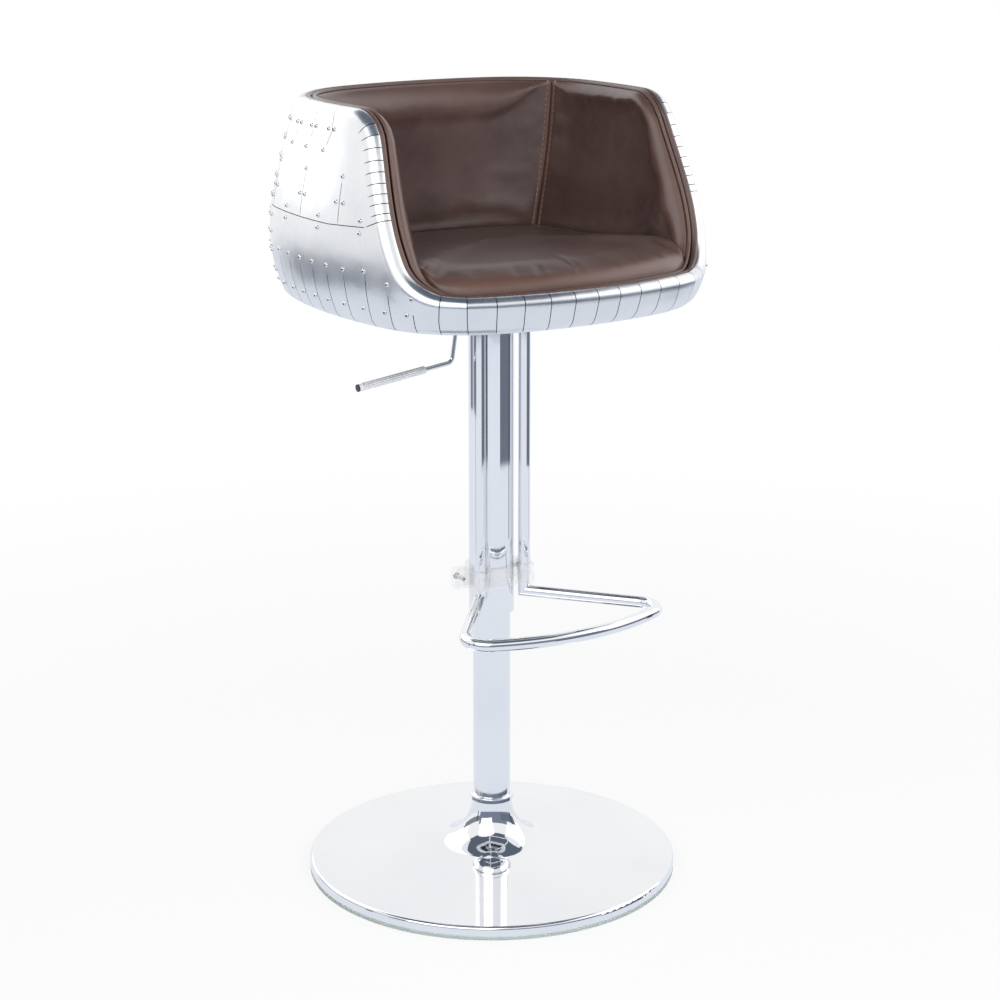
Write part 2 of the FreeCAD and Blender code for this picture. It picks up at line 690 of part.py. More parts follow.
def clip_pieces():
    low = size.clip_low
    high = size.clip_low + size.clip_height
    middle = low + size.clip_height * 0.5
    ear = box("clip_ears", size.clip_ear_reach * 2, size.clip_ear_depth, size.clip_height,
              -size.clip_ear_reach, size.clip_ear_depth * -0.5, low)
    bodies = [cylinder("clip_round", size.sleeve_radius + size.clip_wall, low, high), ear]
    holes = [hole("clip_sleeve_hole", size.sleeve_radius + size.fit, low, high)]
    screws = []
    for sign, name in ((1, "left"), (-1, "right")):
        x = size.hanger_x * sign
        bodies.append(cylinder("clip_eye_" + name, size.tube_radius + size.clip_wall, low, high, x, -size.hanger_y))
        holes.append(hole("clip_tube_hole_" + name, size.tube_radius + size.fit, low, high, x, -size.hanger_y))
        screw_x = size.clip_screw_x * sign
        start = size.clip_ear_depth * -0.5
        holes.append(cross_cylinder("clip_screw_hole_" + name, size.clip_screw_radius + size.fit,
                                    size.clip_ear_depth + 2 * OVERRUN, screw_x, start - OVERRUN, middle))
        shank = cross_cylinder("clip_screw_shank_" + name, size.clip_screw_radius, size.clip_ear_depth,
                               screw_x, start, middle)
        head = cross_cylinder("clip_screw_head_" + name, size.clip_screw_head, size.clip_screw_head_height,
                              screw_x, size.clip_ear_depth * 0.5, middle)
        screws.append(joined("clip_screw_" + name, [shank, head]))
    whole = carved("clip_whole", joined("clip_bodies", bodies), holes)
    half_slit = size.clip_split * 0.5
    depth = size.clip_ear_reach * 2
    front = box("clip_front_half", depth, depth, size.clip_height, -size.clip_ear_reach, -depth - half_slit, low)
    rear = box("clip_rear_half", depth, depth, size.clip_height, -size.clip_ear_reach, half_slit, low)
    for name, half in (("guide_clip_front", front), ("guide_clip_rear", rear)):
        part = doc.addObject("Part::Common", name + "_solid")
        part.Base = whole
        part.Tool = half
        node(name, part)
    node("clip_screws", grouped("clip_screw_group", screws))


# Tub: level outlines of eight tangent arcs, lofted and cut along the raked rim

LEVELS = ["bottom", "hip", "bulge", "chest", "rim"]


def level_heights():
    low = mm.tub_bottom
    return [low, low + mm.hip_height, low + mm.bulge_height, low + mm.chest_height, mm.rim_top + OVERRUN]


def level_arc(x, y, height, radius, start, end):
    points = []
    for share in (0, 0.5, 1):
        angle = start + (end - start) * share
        points.append(Vector(x + radius * math.cos(angle), y + radius * math.sin(angle), height))
    return Part.Arc(*points).toShape()


def corner_place(side_x, bow_y, bow, corner, forward):
    # Middle of the arc that touches the side bow and the front or back bow from inside.
    side_reach = mm.side_bow - corner
    bow_reach = bow - corner
    step_x = -side_x
    step_y = bow_y - mm.waist_y
    apart = math.hypot(step_x, step_y)
    along = (side_reach ** 2 - bow_reach ** 2 + apart ** 2) / (2 * apart)
    across = math.sqrt(side_reach ** 2 - along ** 2)
    foot_x = side_x + along * step_x / apart
    foot_y = mm.waist_y + along * step_y / apart
    return (foot_x + forward * across * step_y / apart, foot_y - forward * across * step_x / apart)


def outline(half_width, front, back, height, tighter, back_corner):
    # tighter is taken from every radius, so an outline drawn inside another one stays parallel to it.
    width = half_width + tighter
    side_x = width - mm.side_bow
    front_y = mm.front_bow - (front + tighter)
    back_y = back + tighter - mm.back_bow
    front_x, front_corner_y = corner_place(side_x, front_y, mm.front_bow, mm.front_corner, 1)
    back_x, back_corner_y = corner_place(side_x, back_y, mm.back_bow, back_corner, -1)
    side_front = math.atan2(front_corner_y - mm.waist_y, front_x - side_x)
    side_back = math.atan2(back_corner_y - mm.waist_y, back_x - side_x)
    bow_front = math.atan2(front_corner_y - front_y, front_x)
    bow_back = math.atan2(back_corner_y - back_y, back_x)
    flip = math.pi
    return Part.Wire([
        level_arc(side_x, mm.waist_y, height, mm.side_bow - tighter, side_front, side_back),
        level_arc(back_x, back_corner_y, height, back_corner - tighter, side_back, bow_back),
        level_arc(0, back_y, height, mm.back_bow - tighter, bow_back, flip - bow_back),
        level_arc(-back_x, back_corner_y, height, back_corner - tighter, flip - bow_back, flip - side_back),
        level_arc(-side_x, mm.waist_y, height, mm.side_bow - tighter, flip - side_back, flip - side_front),
        level_arc(-front_x, front_corner_y, height, mm.front_corner - tighter, flip - side_front, flip - bow_front),
        level_arc(0, front_y, height, mm.front_bow - tighter, flip - bow_front, 2 * flip + bow_front),
        level_arc(front_x, front_corner_y, height, mm.front_corner - tighter, bow_front, side_front),
    ])


def level_outline(level, side, front, back, tighter, height, back_corner):
    return outline(getattr(mm, level + "_width") - side, getattr(mm, level + "_front") - front,
                   getattr(mm, level + "_back") - back, height, tighter, back_corner)


def lofted(sides, fronts, backs, tighter, back_corner):
    wires = []
    for level, height, side, front, back in zip(LEVELS, level_heights(), sides, fronts, backs):
        wires.append(level_outline(level, side, front, back, tighter, height, back_corner))
    return Part.makeLoft(wires, True, False)


def inset_loft(inset):
    even = [inset] * len(LEVELS)
    return lofted(even, even, even, inset, mm.back_corner)


def core_hollow(extra):
    walls = [mm.core_foot, mm.core_hip, mm.core_bulge, mm.core_chest, mm.core_rim]
    insets = [wall + extra for wall in walls]
    fronts = [mm.core_front + extra] * len(LEVELS)
    return lofted(insets, fronts, insets, mm.core_bulge, mm.back_corner)


def piping_start():
    return mm.rim_roll + mm.border_width + mm.leather_fit


def piping_end():
    return piping_start() + mm.piping_width


def seat_well(extra):
    sides = [mm.pad_foot_side, mm.pad_hip_side, mm.pad_bulge_side, mm.pad_chest_side, mm.pad_rim_side]
    backs = [mm.pad_foot_back, mm.pad_hip_back, mm.pad_bulge_back, mm.pad_chest_back, mm.pad_rim_back]
    fronts = [piping_end() + mm.pad_front] * len(LEVELS)
    return lofted([side + extra for side in sides], [front + extra for front in fronts],
                  [back + extra for back in backs], mm.pad_corner, mm.pad_corner + mm.pad_back_corner)


def under_rim(depth):
    # Everything that lies deeper than depth below the rim, as seen from the side.
    rake = math.atan2(mm.rim_top - mm.lip_height, mm.arm_foot_y - mm.arm_top_y)
    top = mm.rim_top - depth
    lip = mm.lip_height - depth
    shift = depth * math.tan(rake / 2)
    top_y = -mm.arm_top_y + shift
    foot_y = -mm.arm_foot_y + shift
    top_radius = mm.arm_round - depth
    lip_radius = mm.arm_round + depth
    top_trim = top_radius * math.tan(rake / 2)
    lip_trim = lip_radius * math.tan(rake / 2)
    down = Vector(0, -math.cos(rake), -math.sin(rake))
    middle = math.pi / 2 + rake / 2

    def spot(y, z):
        return Vector(-FAR, y, z)

    shoulder_start = spot(top_y + top_trim, top)
    shoulder_end = spot(top_y, top) + down * top_trim
    shoulder_middle = spot(top_y + top_trim + top_radius * math.cos(middle),
                           top - top_radius + top_radius * math.sin(middle))
    hollow_start = spot(foot_y, lip) - down * lip_trim
    hollow_end = spot(foot_y - lip_trim, lip)
    hollow_middle = spot(foot_y - lip_trim - lip_radius * math.cos(middle),
                         lip + lip_radius - lip_radius * math.sin(middle))
    floor = mm.tub_bottom - FAR
    edges = [
        Part.makeLine(spot(FAR, top), shoulder_start),
        Part.Arc(shoulder_start, shoulder_middle, shoulder_end).toShape(),
        Part.makeLine(shoulder_end, hollow_start),
        Part.Arc(hollow_start, hollow_middle, hollow_end).toShape(),
        Part.makeLine(hollow_end, spot(-FAR, lip)),
        Part.makeLine(spot(-FAR, lip), spot(-FAR, floor)),
        Part.makeLine(spot(-FAR, floor), spot(FAR, floor)),
        Part.makeLine(spot(FAR, floor), spot(FAR, top)),
    ]
    return Part.Face(Part.Wire(edges)).extrude(X_AXIS * (2 * FAR))


def slab(low, high):
    return Part.makeBox(2 * FAR, 2 * FAR, high - low, Vector(-FAR, -FAR, low))


def rim_edges(solid, lowest):
    # Edges where a lofted wall meets the rim's cut.
    found = []
    cut_kinds = ("Part::GeomPlane", "Part::GeomCylinder", "Part::GeomSurfaceOfExtrusion")
    for edge in solid.Edges:
        if edge.BoundBox.ZMin < lowest:
            continue
        kinds = [face.Surface.TypeId for face in solid.ancestorsOfType(edge, Part.Face)]
        walls = [kind for kind in kinds if kind == "Part::GeomBSplineSurface"]
        cuts = [kind for kind in kinds if kind in cut_kinds]
        if walls and cuts:
            found.append(edge)
    return found


def tub_block(inset, depth):
    # The tub as one solid, inset from the outside of the cladding and cut off at depth below the rim.
    low = mm.tub_bottom + inset
    solid = inset_loft(inset).common(under_rim(depth)).common(slab(low, mm.rim_top + FAR)).Solids[0]
    near = 0.01
    lower = [edge for edge in solid.Edges if abs(edge.BoundBox.ZMax - low) < near]
    return solid.makeFillet(mm.bottom_round - inset, lower)


def tub_form(inset):
    # The same with its rim rolled over.
    solid = tub_block(inset, inset)
    lip = mm.lip_height - inset - OVERRUN
    return solid.makeFillet(mm.rim_roll - inset, rim_edges(solid, lip))


def half_space(point, direction):
    return Part.makeCylinder(2 * FAR, 2 * FAR, point, direction)


def strips(solid):
    # Cuts a band into strips with thin upright slits that point at the tub's middle.
    slits = []
    start = (mm.bottom_front - mm.hem) / 2
    for index in range(int(round(360 / mm.strip_angle))):
        slit = Part.makeBox(FAR, mm.panel_gap, FAR, Vector(start, -mm.panel_gap / 2, mm.tub_bottom - OVERRUN))
        slit.rotate(Vector(), Z_AXIS, index * mm.strip_angle)
        slit.translate(Vector(0, mm.waist_y, 0))
        slits.append(slit)
    return solid.cut(slits)


def cladding_pieces(outside):
    sheet_inside = tub_form(mm.cladding_sheet)
    inner_top = inset_loft(mm.roll_edge).common(slab(mm.tub_bottom + mm.bottom_round, mm.rim_top + FAR))
    hem_wire = level_outline("bottom", mm.hem, mm.hem, mm.hem, mm.hem, mm.tub_bottom - OVERRUN,
                             mm.back_corner)
    hem_eye = Part.Face(hem_wire).extrude(Z_AXIS * mm.bottom_round)
    skin = outside.cut(sheet_inside).cut(inner_top).cut(hem_eye)
    shape_node("rim_strips", strips(skin.cut(under_rim(mm.rim_band))))
    field = skin.common(under_rim(mm.rim_band + mm.panel_gap))
    shape_node("skirt_strips", strips(field.common(slab(mm.tub_bottom - OVERRUN, mm.skirt_top))))
    bands = [
        ("upper_panel", mm.panel_seam + mm.panel_gap, mm.rim_top),
        ("lower_panel", mm.skirt_top + mm.panel_gap, mm.panel_seam),
    ]
    for name, low, high in bands:
        band = field.common(slab(low, high))
        split_by_seams(name, band, mm.panel_gap, ("_back", "_left", "_right"))


def split_by_seams(name, solid, gap, endings):
    # Back piece behind the seams, then the sitter's left (+X) and right (-X) pieces.
    seam = Vector(0, mm.back_seam_y, 0)
    back = solid.common(half_space(seam + Y_AXIS * gap, Y_AXIS))
    front = solid.common(half_space(seam, Y_AXIS * -1))
    shape_node(name + endings[0], back)
    shape_node(name + endings[1], front.common(half_space(X_AXIS * (gap / 2), X_AXIS)))
    shape_node(name + endings[2], front.common(half_space(X_AXIS * (gap / -2), X_AXIS * -1)))


def core_pieces():
    core_inset = mm.cladding_sheet + mm.cladding_fit
    core = tub_block(core_inset, mm.border_depth + mm.leather_fit)
    rebate = inset_loft(0).cut(inset_loft(core_inset + mm.core_rebate)).cut(under_rim(mm.rebate_depth))
    shape_node("tub_core", core.cut(rebate).cut(core_hollow(0)))
    board_low = mm.tub_bottom + mm.cladding_sheet + mm.cladding_fit
    board_inset = mm.core_foot + mm.seat_clearance
    board_front = mm.core_front + mm.seat_clearance
    board_wire = level_outline("bottom", board_inset, board_front, board_inset, mm.core_bulge, board_low,
                               mm.back_corner)
    board = Part.Face(board_wire).extrude(Z_AXIS * mm.board_sheet)
    cover_inset = mm.hem + mm.seat_clearance
    cover_wire = level_outline("bottom", cover_inset, cover_inset, cover_inset, mm.hem, mm.tub_bottom,
                               mm.back_corner)
    cover = Part.Face(cover_wire).extrude(Z_AXIS * mm.cladding_sheet)
    eye = Part.makeCylinder(mm.board_eye, FAR, Vector(0, 0, mm.tub_bottom - OVERRUN))
    holes = [eye]
    for sign_x, sign_y in bolt_places:
        place = Vector(sign_x * mm.seat_bolt_x, sign_y * mm.seat_bolt_y, mm.tub_bottom - OVERRUN)
        holes.append(Part.makeCylinder(mm.seat_bolt_radius + mm.fit, mm.board_sheet + FAR, place))
    shape_node("seat_board", board.cut(holes))
    shape_node("bottom_cover", cover.cut(holes))


# Upholstery

def leather_pieces():
    border_inset = mm.rim_roll + mm.leather_fit
    border_end = mm.rim_roll + mm.border_width
    layer = under_rim(0).cut(under_rim(mm.border_depth))
    border = layer.common(inset_loft(border_inset).cut(inset_loft(border_end)))
    shape_node("rim_border", border)
    piping = layer.common(inset_loft(piping_start()).cut(inset_loft(piping_end())))
    shape_node("rim_piping", piping)
    board_top = mm.tub_bottom + mm.cladding_sheet + mm.cladding_fit + mm.board_sheet
    pad_low = board_top + mm.leather_fit
    room = slab(pad_low, mm.rim_top).common(under_rim(mm.border_depth + mm.leather_fit))
    padding = core_hollow(mm.leather_fit).cut(seat_well(0)).common(room)
    half = mm.front_roll_half
    front_zone = Part.makeBox(2 * half, FAR, FAR, Vector(-half, -FAR, mm.tub_bottom))
    shape_node("front_roll", padding.common(front_zone))
    gap = mm.leather_fit
    clear_zone = Part.makeBox(2 * (half + gap), FAR, FAR, Vector(-half - gap, -FAR, mm.tub_bottom))
    rest = padding.cut(clear_zone)
    split_by_seams("pad", rest, gap, ("_back", "_left", "_right"))
    seat_cushion(pad_low)


def seat_cushion(low):
    block = seat_well(mm.leather_fit).common(slab(low, mm.cushion_crown + OVERRUN))
    dome = Part.makeSphere(mm.cushion_dome, Vector(0, 0, mm.cushion_crown - mm.cushion_dome))
    cushion = block.common(dome).Solids[0]
    upper = []
    for edge in cushion.Edges:
        kinds = [face.Surface.TypeId for face in cushion.ancestorsOfType(edge, Part.Face)]
        if "Part::GeomSphere" in kinds:
            upper.append(edge)
    shape_node("seat_cushion", cushion.makeFillet(mm.cushion_round, upper))


# Rivets

RIVET_ROWS = [
    # name of the row's height, offset from it, first angle, step and number of rivets
    ("skirt_top", -5, -33.75, 7.5, 34),
    ("panel_seam", 6, -12, 17, 13),
    ("panel_seam", -6, -12, 17, 13),
]


def rivets(outside):
    # Heads sit on the cladding along rows that run round from the right arm to the left arm.
    heads = []
    for row_name, offset, first, step, count in RIVET_ROWS:
        height = getattr(mm, row_name) + offset
        for index in range(count):
            angle = math.radians(first + step * index)
            middle = Vector(0, mm.waist_y, height)
            sight = Part.makeLine(middle, middle + Vector(math.cos(angle), math.sin(angle), 0) * FAR)
            inside = outside.common(sight)
            spot = max((vertex.Point for vertex in inside.Vertexes), key=lambda point: (point - middle).Length)
            support = outside.distToShape(Part.Vertex(spot))[2][0]
            normal = outside.Faces[support[1]].normalAt(*support[2])
            heads.append(Part.makeSphere(mm.rivet_radius, spot + normal * mm.fit, normal, 0, 90, 360))
    shape_node("panel_rivets", Part.makeCompound(heads))


# Build

base_shell()
base_pieces()
collar_and_bush()
spindle_pieces()
gas_cylinder()
lift_tubes()
seat_plate_pieces()
lever_pieces()
valve_pin()
footrest_pieces()
clip_pieces()
tub_outside = tub_form(0)
cladding_pieces(tub_outside)
core_pieces()
leather_pieces()
rivets(tub_outside)
doc.recompute()

for feature in doc.Objects:
    if "Invalid" in feature.State or "Error" in feature.State:
        raise RuntimeError("%s did not build: %s" % (feature.Label, feature.State))
for feature in nodes:
    if feature.Shape.isNull() or not feature.Shape.isValid() or not feature.Shape.Solids:
        raise RuntimeError("%s has no valid solid" % feature.Label)

os.makedirs("parts", exist_ok=True)
for feature in nodes:
    feature.Shape.exportStep("parts/%s.step" % feature.Label)
    print("%-20s %3d solids  %12.1f mm3" % (feature.Label, len(feature.Shape.Solids), feature.Shape.Volume))
print("%d nodes" % len(nodes))
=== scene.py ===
import json
import math

import bmesh
import bpy
import numpy as np
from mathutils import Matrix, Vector


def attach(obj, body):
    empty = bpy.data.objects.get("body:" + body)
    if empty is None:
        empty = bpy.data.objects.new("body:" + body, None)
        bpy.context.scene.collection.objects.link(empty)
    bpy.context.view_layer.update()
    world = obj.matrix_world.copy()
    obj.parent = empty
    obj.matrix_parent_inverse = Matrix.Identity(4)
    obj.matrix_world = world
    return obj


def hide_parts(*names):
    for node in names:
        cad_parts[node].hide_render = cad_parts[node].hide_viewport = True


# Swivel bar stool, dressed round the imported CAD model. Metres, +Z up, the seat faces -Y.

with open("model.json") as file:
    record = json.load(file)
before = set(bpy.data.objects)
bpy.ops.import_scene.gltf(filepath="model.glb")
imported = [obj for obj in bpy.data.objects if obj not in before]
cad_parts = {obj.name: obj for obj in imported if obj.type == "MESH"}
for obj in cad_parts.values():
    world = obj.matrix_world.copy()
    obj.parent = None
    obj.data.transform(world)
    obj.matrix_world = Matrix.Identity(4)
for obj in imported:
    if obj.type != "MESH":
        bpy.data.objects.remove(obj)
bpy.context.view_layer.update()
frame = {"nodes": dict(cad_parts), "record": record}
nodes = frame["nodes"]
scene = bpy.context.scene
fullTurn = 2 * math.pi
upwards = np.array([0.0, 0.0, 1.0])
print("frame loaded:", len(nodes), "nodes")


# Node helpers

def feed(tree, socket, value):
    # a value is a constant, or a socket to link from
    if isinstance(value, bpy.types.NodeSocket):
        tree.links.new(value, socket)
    else:
        socket.default_value = value


def addNode(tree, kind, values=None, **settings):
    made = tree.nodes.new(kind)
    for key, value in settings.items():
        setattr(made, key, value)
    for key, value in (values or {}).items():
        feed(tree, made.inputs[key], value)
    return made


def startMaterial(name):
    material = bpy.data.materials.new(name)
    material.use_nodes = True
    place = addNode(material.node_tree, "ShaderNodeTexCoord").outputs["Object"]
    return material, material.node_tree, place


def shade(tree, values):
    shader = tree.nodes["Principled BSDF"]
    for key, value in values.items():
        feed(tree, shader.inputs[key], value)


def noiseOn(tree, place, scale, detail=3.0, roughness=0.5, stretch=None):
    if stretch:
        place = addNode(tree, "ShaderNodeMapping", {"Vector": place, "Scale": stretch}).outputs["Vector"]
    return addNode(tree, "ShaderNodeTexNoise", {
        "Vector": place, "Scale": scale, "Detail": detail, "Roughness": roughness}).outputs["Fac"]


def ranged(tree, value, low, high, fromLow=0.3, fromHigh=0.7):
    return addNode(tree, "ShaderNodeMapRange", {
        "Value": value, "From Min": fromLow, "From Max": fromHigh,
        "To Min": low, "To Max": high}).outputs["Result"]


def mixedColour(tree, factor, *colours):
    made = addNode(tree, "ShaderNodeMix", {"Factor": factor}, data_type="RGBA")
    sockets = [s for s in made.inputs if s.type == "RGBA"]
    for socket, colour in zip(sockets, colours):
        feed(tree, socket, (*colour, 1) if isinstance(colour, tuple) else colour)
    return [s for s in made.outputs if s.type == "RGBA"][0]


def toned(tree, noise, *colours):
    return mixedColour(tree, ranged(tree, noise, 0, 1), *colours)


def bumps(tree, *layers):
    normal = None
    for height, strength, distance in layers:
        values = {"Strength": strength, "Distance": distance, "Height": height}
        if normal:
            values["Normal"] = normal
        normal = addNode(tree, "ShaderNodeBump", values).outputs["Normal"]
    return normal


# Finishes

def chromeFinish():
    material, tree, place = startMaterial("chrome")
    shade(tree, {"Metallic": 1.0, "Roughness": ranged(tree, noiseOn(tree, place, 45, 4), 0.025, 0.07),
                 "Base Color": toned(tree, noiseOn(tree, place, 6), (0.83, 0.84, 0.87), (0.88, 0.885, 0.90))})
    return material


def aluminiumFinish():
    material, tree, place = startMaterial("polishedAluminium")
    cloud = noiseOn(tree, place, 14, 4)
    dents = noiseOn(tree, place, 13, 2)
    scratch = noiseOn(tree, place, 160, 2, stretch=(0.25, 0.25, 3.0))
    shade(tree, {"Metallic": 1.0, "Roughness": ranged(tree, cloud, 0.22, 0.32),
                 "Base Color": toned(tree, cloud, (0.76, 0.78, 0.81), (0.87, 0.88, 0.895)),
                 "Normal": bumps(tree, (dents, 0.30, 0.005), (scratch, 0.06, 0.0004))})
    return material


def leatherFinish():
    material, tree, place = startMaterial("brownLeather")
    cloud = noiseOn(tree, place, 9, 5, 0.6)
    mottle = noiseOn(tree, place, 70, 4, 0.6)
    crease = noiseOn(tree, place, 42, 5, 0.65)
    pebble = addNode(tree, "ShaderNodeTexVoronoi", {"Vector": place, "Scale": 620.0}, feature="DISTANCE_TO_EDGE")
    grain = ranged(tree, pebble.outputs["Distance"], 0, 1, 0, 0.35)
    dark = toned(tree, mottle, (0.049, 0.028, 0.026), (0.068, 0.040, 0.036))
    body = toned(tree, cloud, dark, (0.112, 0.067, 0.058))
    wear = addNode(tree, "ShaderNodeAttribute", attribute_name="wear").outputs["Fac"]
    shade(tree, {"Specular IOR Level": 0.5, "Coat Weight": 0.35, "Coat Roughness": 0.32,
                 "Base Color": mixedColour(tree, wear, body, (0.140, 0.066, 0.046)),
                 "Roughness": ranged(tree, cloud, 0.26, 0.40),
                 "Normal": bumps(tree, (crease, 0.25, 0.0016), (grain, 0.22, 0.0003))})
    return material


def threadFinish():
    material, tree, place = startMaterial("stitchThread")
    tone = toned(tree, noiseOn(tree, place, 900, 1), (0.36, 0.28, 0.24), (0.52, 0.43, 0.38))
    shade(tree, {"Roughness": 0.7, "Base Color": tone})
    return material


def clearFinish(name, colour, roughness, weight, alpha):
    material, tree, place = startMaterial(name)
    shade(tree, {"IOR": 1.45, "Transmission Weight": weight, "Alpha": alpha,
                 "Base Color": toned(tree, noiseOn(tree, place, 60), colour, tuple(0.93 * c for c in colour)),
                 "Roughness": ranged(tree, noiseOn(tree, place, 120), roughness, roughness * 1.5)})
    return material


def plainFinish(name, first, second, roughness, metallic=0.0, grain=90, stretch=None, bump=0.08):
    material, tree, place = startMaterial(name)
    cloud = noiseOn(tree, place, grain, 4, 0.6, stretch)
    shade(tree, {"Metallic": metallic, "Base Color": toned(tree, cloud, first, second),
                 "Roughness": ranged(tree, cloud, roughness * 0.85, roughness * 1.15),
                 "Normal": bumps(tree, (cloud, bump, 0.0005))})
    return material


finish = {
    "chrome": chromeFinish(),
    "polished_aluminium": aluminiumFinish(),
    "leather": leatherFinish(),
    "thread": threadFinish(),
    "clear_plastic": clearFinish("clearPlastic", (0.90, 0.91, 0.92), 0.08, 0.0, 0.2),
    "floor_ring": clearFinish("floorRing", (0.80, 0.90, 0.87), 0.25, 0.6, 1.0),
    "dark_plastic": plainFinish("darkPlastic", (0.03, 0.03, 0.033), (0.05, 0.05, 0.053), 0.45),
    "grip": plainFinish("metallisedGrip", (0.74, 0.75, 0.78), (0.82, 0.83, 0.85), 0.32, 0.4, 120, None, 0.03),
    "steel": plainFinish("plainSteel", (0.50, 0.50, 0.51), (0.60, 0.60, 0.61), 0.32, 1.0, 200, (1, 1, 0.1)),
    "iron": plainFinish("blackIron", (0.05, 0.05, 0.05), (0.09, 0.09, 0.09), 0.6, 0.6),
    "rubber": plainFinish("blackRubber", (0.02, 0.02, 0.02), (0.035, 0.035, 0.035), 0.75),
    "plywood": plainFinish("darkPlywood", (0.060, 0.045, 0.034), (0.10, 0.075, 0.055), 0.7, 0.0, 30, (1, 1, 9)),
    "dust_cloth": plainFinish("dustCloth", (0.018, 0.018, 0.018), (0.035, 0.035, 0.035), 0.9, 0.0, 700),
    "rivet": plainFinish("rivetHead", (0.72, 0.73, 0.75), (0.84, 0.85, 0.86), 0.2, 1.0),
    # the rivets' dark middles are painted shade: a near-black dot stands in for the shaded hollow in each rivet's
    # middle
    "rivetHoleShade": plainFinish("rivetHoleShade", (0.025, 0.025, 0.028), (0.05, 0.05, 0.055), 0.5),
}

slotOf = {row["node"]: row["material_slot"] for row in frame["record"]["subparts"]}
for name, part in nodes.items():
    part.data.materials.clear()
    part.data.materials.append(finish[slotOf[name]])
print("finishes made")


# Studio

studio = {"floorSize": 9.0, "floorDrop": 0.0004, "ambient": 0.62, "white": (1, 1, 1, 1), "matt": (0.9, 0.9, 0.9, 1),
          "shadowNear": 0.8, "shadowFar": 2.2, "shadowShare": 0.18, "mirrorFloor": (0.83, 0.87, 0.94, 1),
          "lights": [  # place, aimed at, size, watts, seen in mirrors
              ((-2.1, -1.3, 2.2), (0, 0, 0.8), 3.0, 30, True),
              ((2.2, -0.9, 2.0), (0, 0, 0.7), 2.8, 20, True),
              ((0.2, -0.4, 3.0), (0, 0, 0.8), 3.0, 5, False),
              ((-0.6, -2.7, 1.3), (0, 0, 0.9), 2.2, 40, False),
              ((-0.6, 2.3, 2.0), (0, 0, 0.8), 2.4, 14, True)],
          "ceiling": {"radius": 2.6, "height": 3.3, "sides": 48, "colour": (0.11, 0.135, 0.175, 1)},
          "screenSteps": 24,
          "screens": [  # only in mirrors: first and last bearing from the camera's side, distance, foot, top, colour
              (-62, 105, 3.7, 0.0, 1.9, (0.20, 0.24, 0.31, 1)),
              (44, 114, 1.6, 0.16, 0.60, (0.16, 0.18, 0.23, 1)),
              (-128, -54, 1.6, 0.27, 0.60, (0.24, 0.26, 0.31, 1)),
              (97, 102, 1.55, 0.02, 0.60, (0.05, 0.06, 0.08, 1)),
              (-75, -70, 1.55, 0.0, 0.60, (0.05, 0.06, 0.08, 1))]}
camera = {"lens": 86.98, "sensor": 36.0, "bearing": math.radians(-32.57), "distance": 3.088, "height": 1.372,
          "tilt": math.radians(90 - 15.47), "heading": math.radians(-32.78)}


def placed(name, data):
    made = bpy.data.objects.new(name, data)
    scene.collection.objects.link(made)
    return made


def seenBy(tree, first, *rays):
    # 1 where one of these kinds of ray meets the surface
    path = addNode(tree, "ShaderNodeLightPath")
    total = path.outputs[first]
    for ray in rays:
        total = addNode(tree, "ShaderNodeMath", {0: total, 1: path.outputs[ray]}, operation="MAXIMUM").outputs[0]
    return total


def mixShaders(tree, factor, first, second):
    return addNode(tree, "ShaderNodeMixShader", {"Fac": factor, 1: first, 2: second}).outputs[0]


def emission(tree, colour):
    return addNode(tree, "ShaderNodeEmission", {"Color": colour, "Strength": 1.0}).outputs[0]


def stagePiece(name, points, faces):
    mesh = bpy.data.meshes.new(name)
    mesh.from_pydata(points, [], faces)
    made = placed(name, mesh)
    material = bpy.data.materials.new(name)
    material.use_nodes = True
    tree = material.node_tree
    tree.nodes.remove(tree.nodes["Principled BSDF"])
    mesh.materials.append(material)
    return made, tree, tree.nodes["Material Output"].inputs["Surface"]


def makeFloor():
    half, low = studio["floorSize"] / 2, -studio["floorDrop"]
    corners = [(-half, -half, low), (half, -half, low), (half, half, low), (-half, half, low)]
    _, tree, surface = stagePiece("floor", corners, [(0, 1, 2, 3)])
    matt = addNode(tree, "ShaderNodeBsdfDiffuse", {"Color": studio["matt"]}).outputs[0]
    # the floor is matt where the stool's shadow falls and turns into the backdrop further out
    place = addNode(tree, "ShaderNodeTexCoord").outputs["Object"]
    far = addNode(tree, "ShaderNodeVectorMath", {0: place}, operation="LENGTH").outputs["Value"]
    share = ranged(tree, far, 1 - studio["shadowShare"], 1.0, studio["shadowNear"], studio["shadowFar"])
    seen = seenBy(tree, "Is Camera Ray", "Is Transmission Ray")
    shown = addNode(tree, "ShaderNodeMath", {0: share, 1: seen}, operation="MULTIPLY").outputs[0]
    lit = mixShaders(tree, shown, matt, emission(tree, studio["white"]))
    mirrored = emission(tree, studio["mirrorFloor"])
    feed(tree, surface, mixShaders(tree, seenBy(tree, "Is Glossy Ray"), lit, mirrored))


def onlyInMirrors(name, points, faces, colour):
    made, tree, surface = stagePiece(name, points, faces)
    feed(tree, surface, emission(tree, colour))
    made.visible_camera = made.visible_diffuse = made.visible_transmission = made.visible_shadow = False
    return made


def makeCeiling():
    size = studio["ceiling"]
    turn = np.linspace(0, fullTurn, size["sides"], endpoint=False)
    points = [(size["radius"] * math.cos(a), size["radius"] * math.sin(a), size["height"]) for a in turn]
    made = onlyInMirrors("ceiling", points, [tuple(range(size["sides"]))], size["colour"])
    made.visible_diffuse = True  # it also keeps the seat from being lit more than the pads


def makeScreens():
    steps = studio["screenSteps"]
    faces = [(2 * k, 2 * k + 1, 2 * k + 3, 2 * k + 2) for k in range(steps)]
    for index, (first, last, distance, foot, top, colour) in enumerate(studio["screens"]):
        points = []
        for turn in camera["bearing"] + np.linspace(math.radians(first), math.radians(last), steps + 1):
            x, y = distance * math.sin(turn), -distance * math.cos(turn)
            points += [(x, y, foot), (x, y, top)]
        onlyInMirrors("screen%d" % index, points, faces, colour)


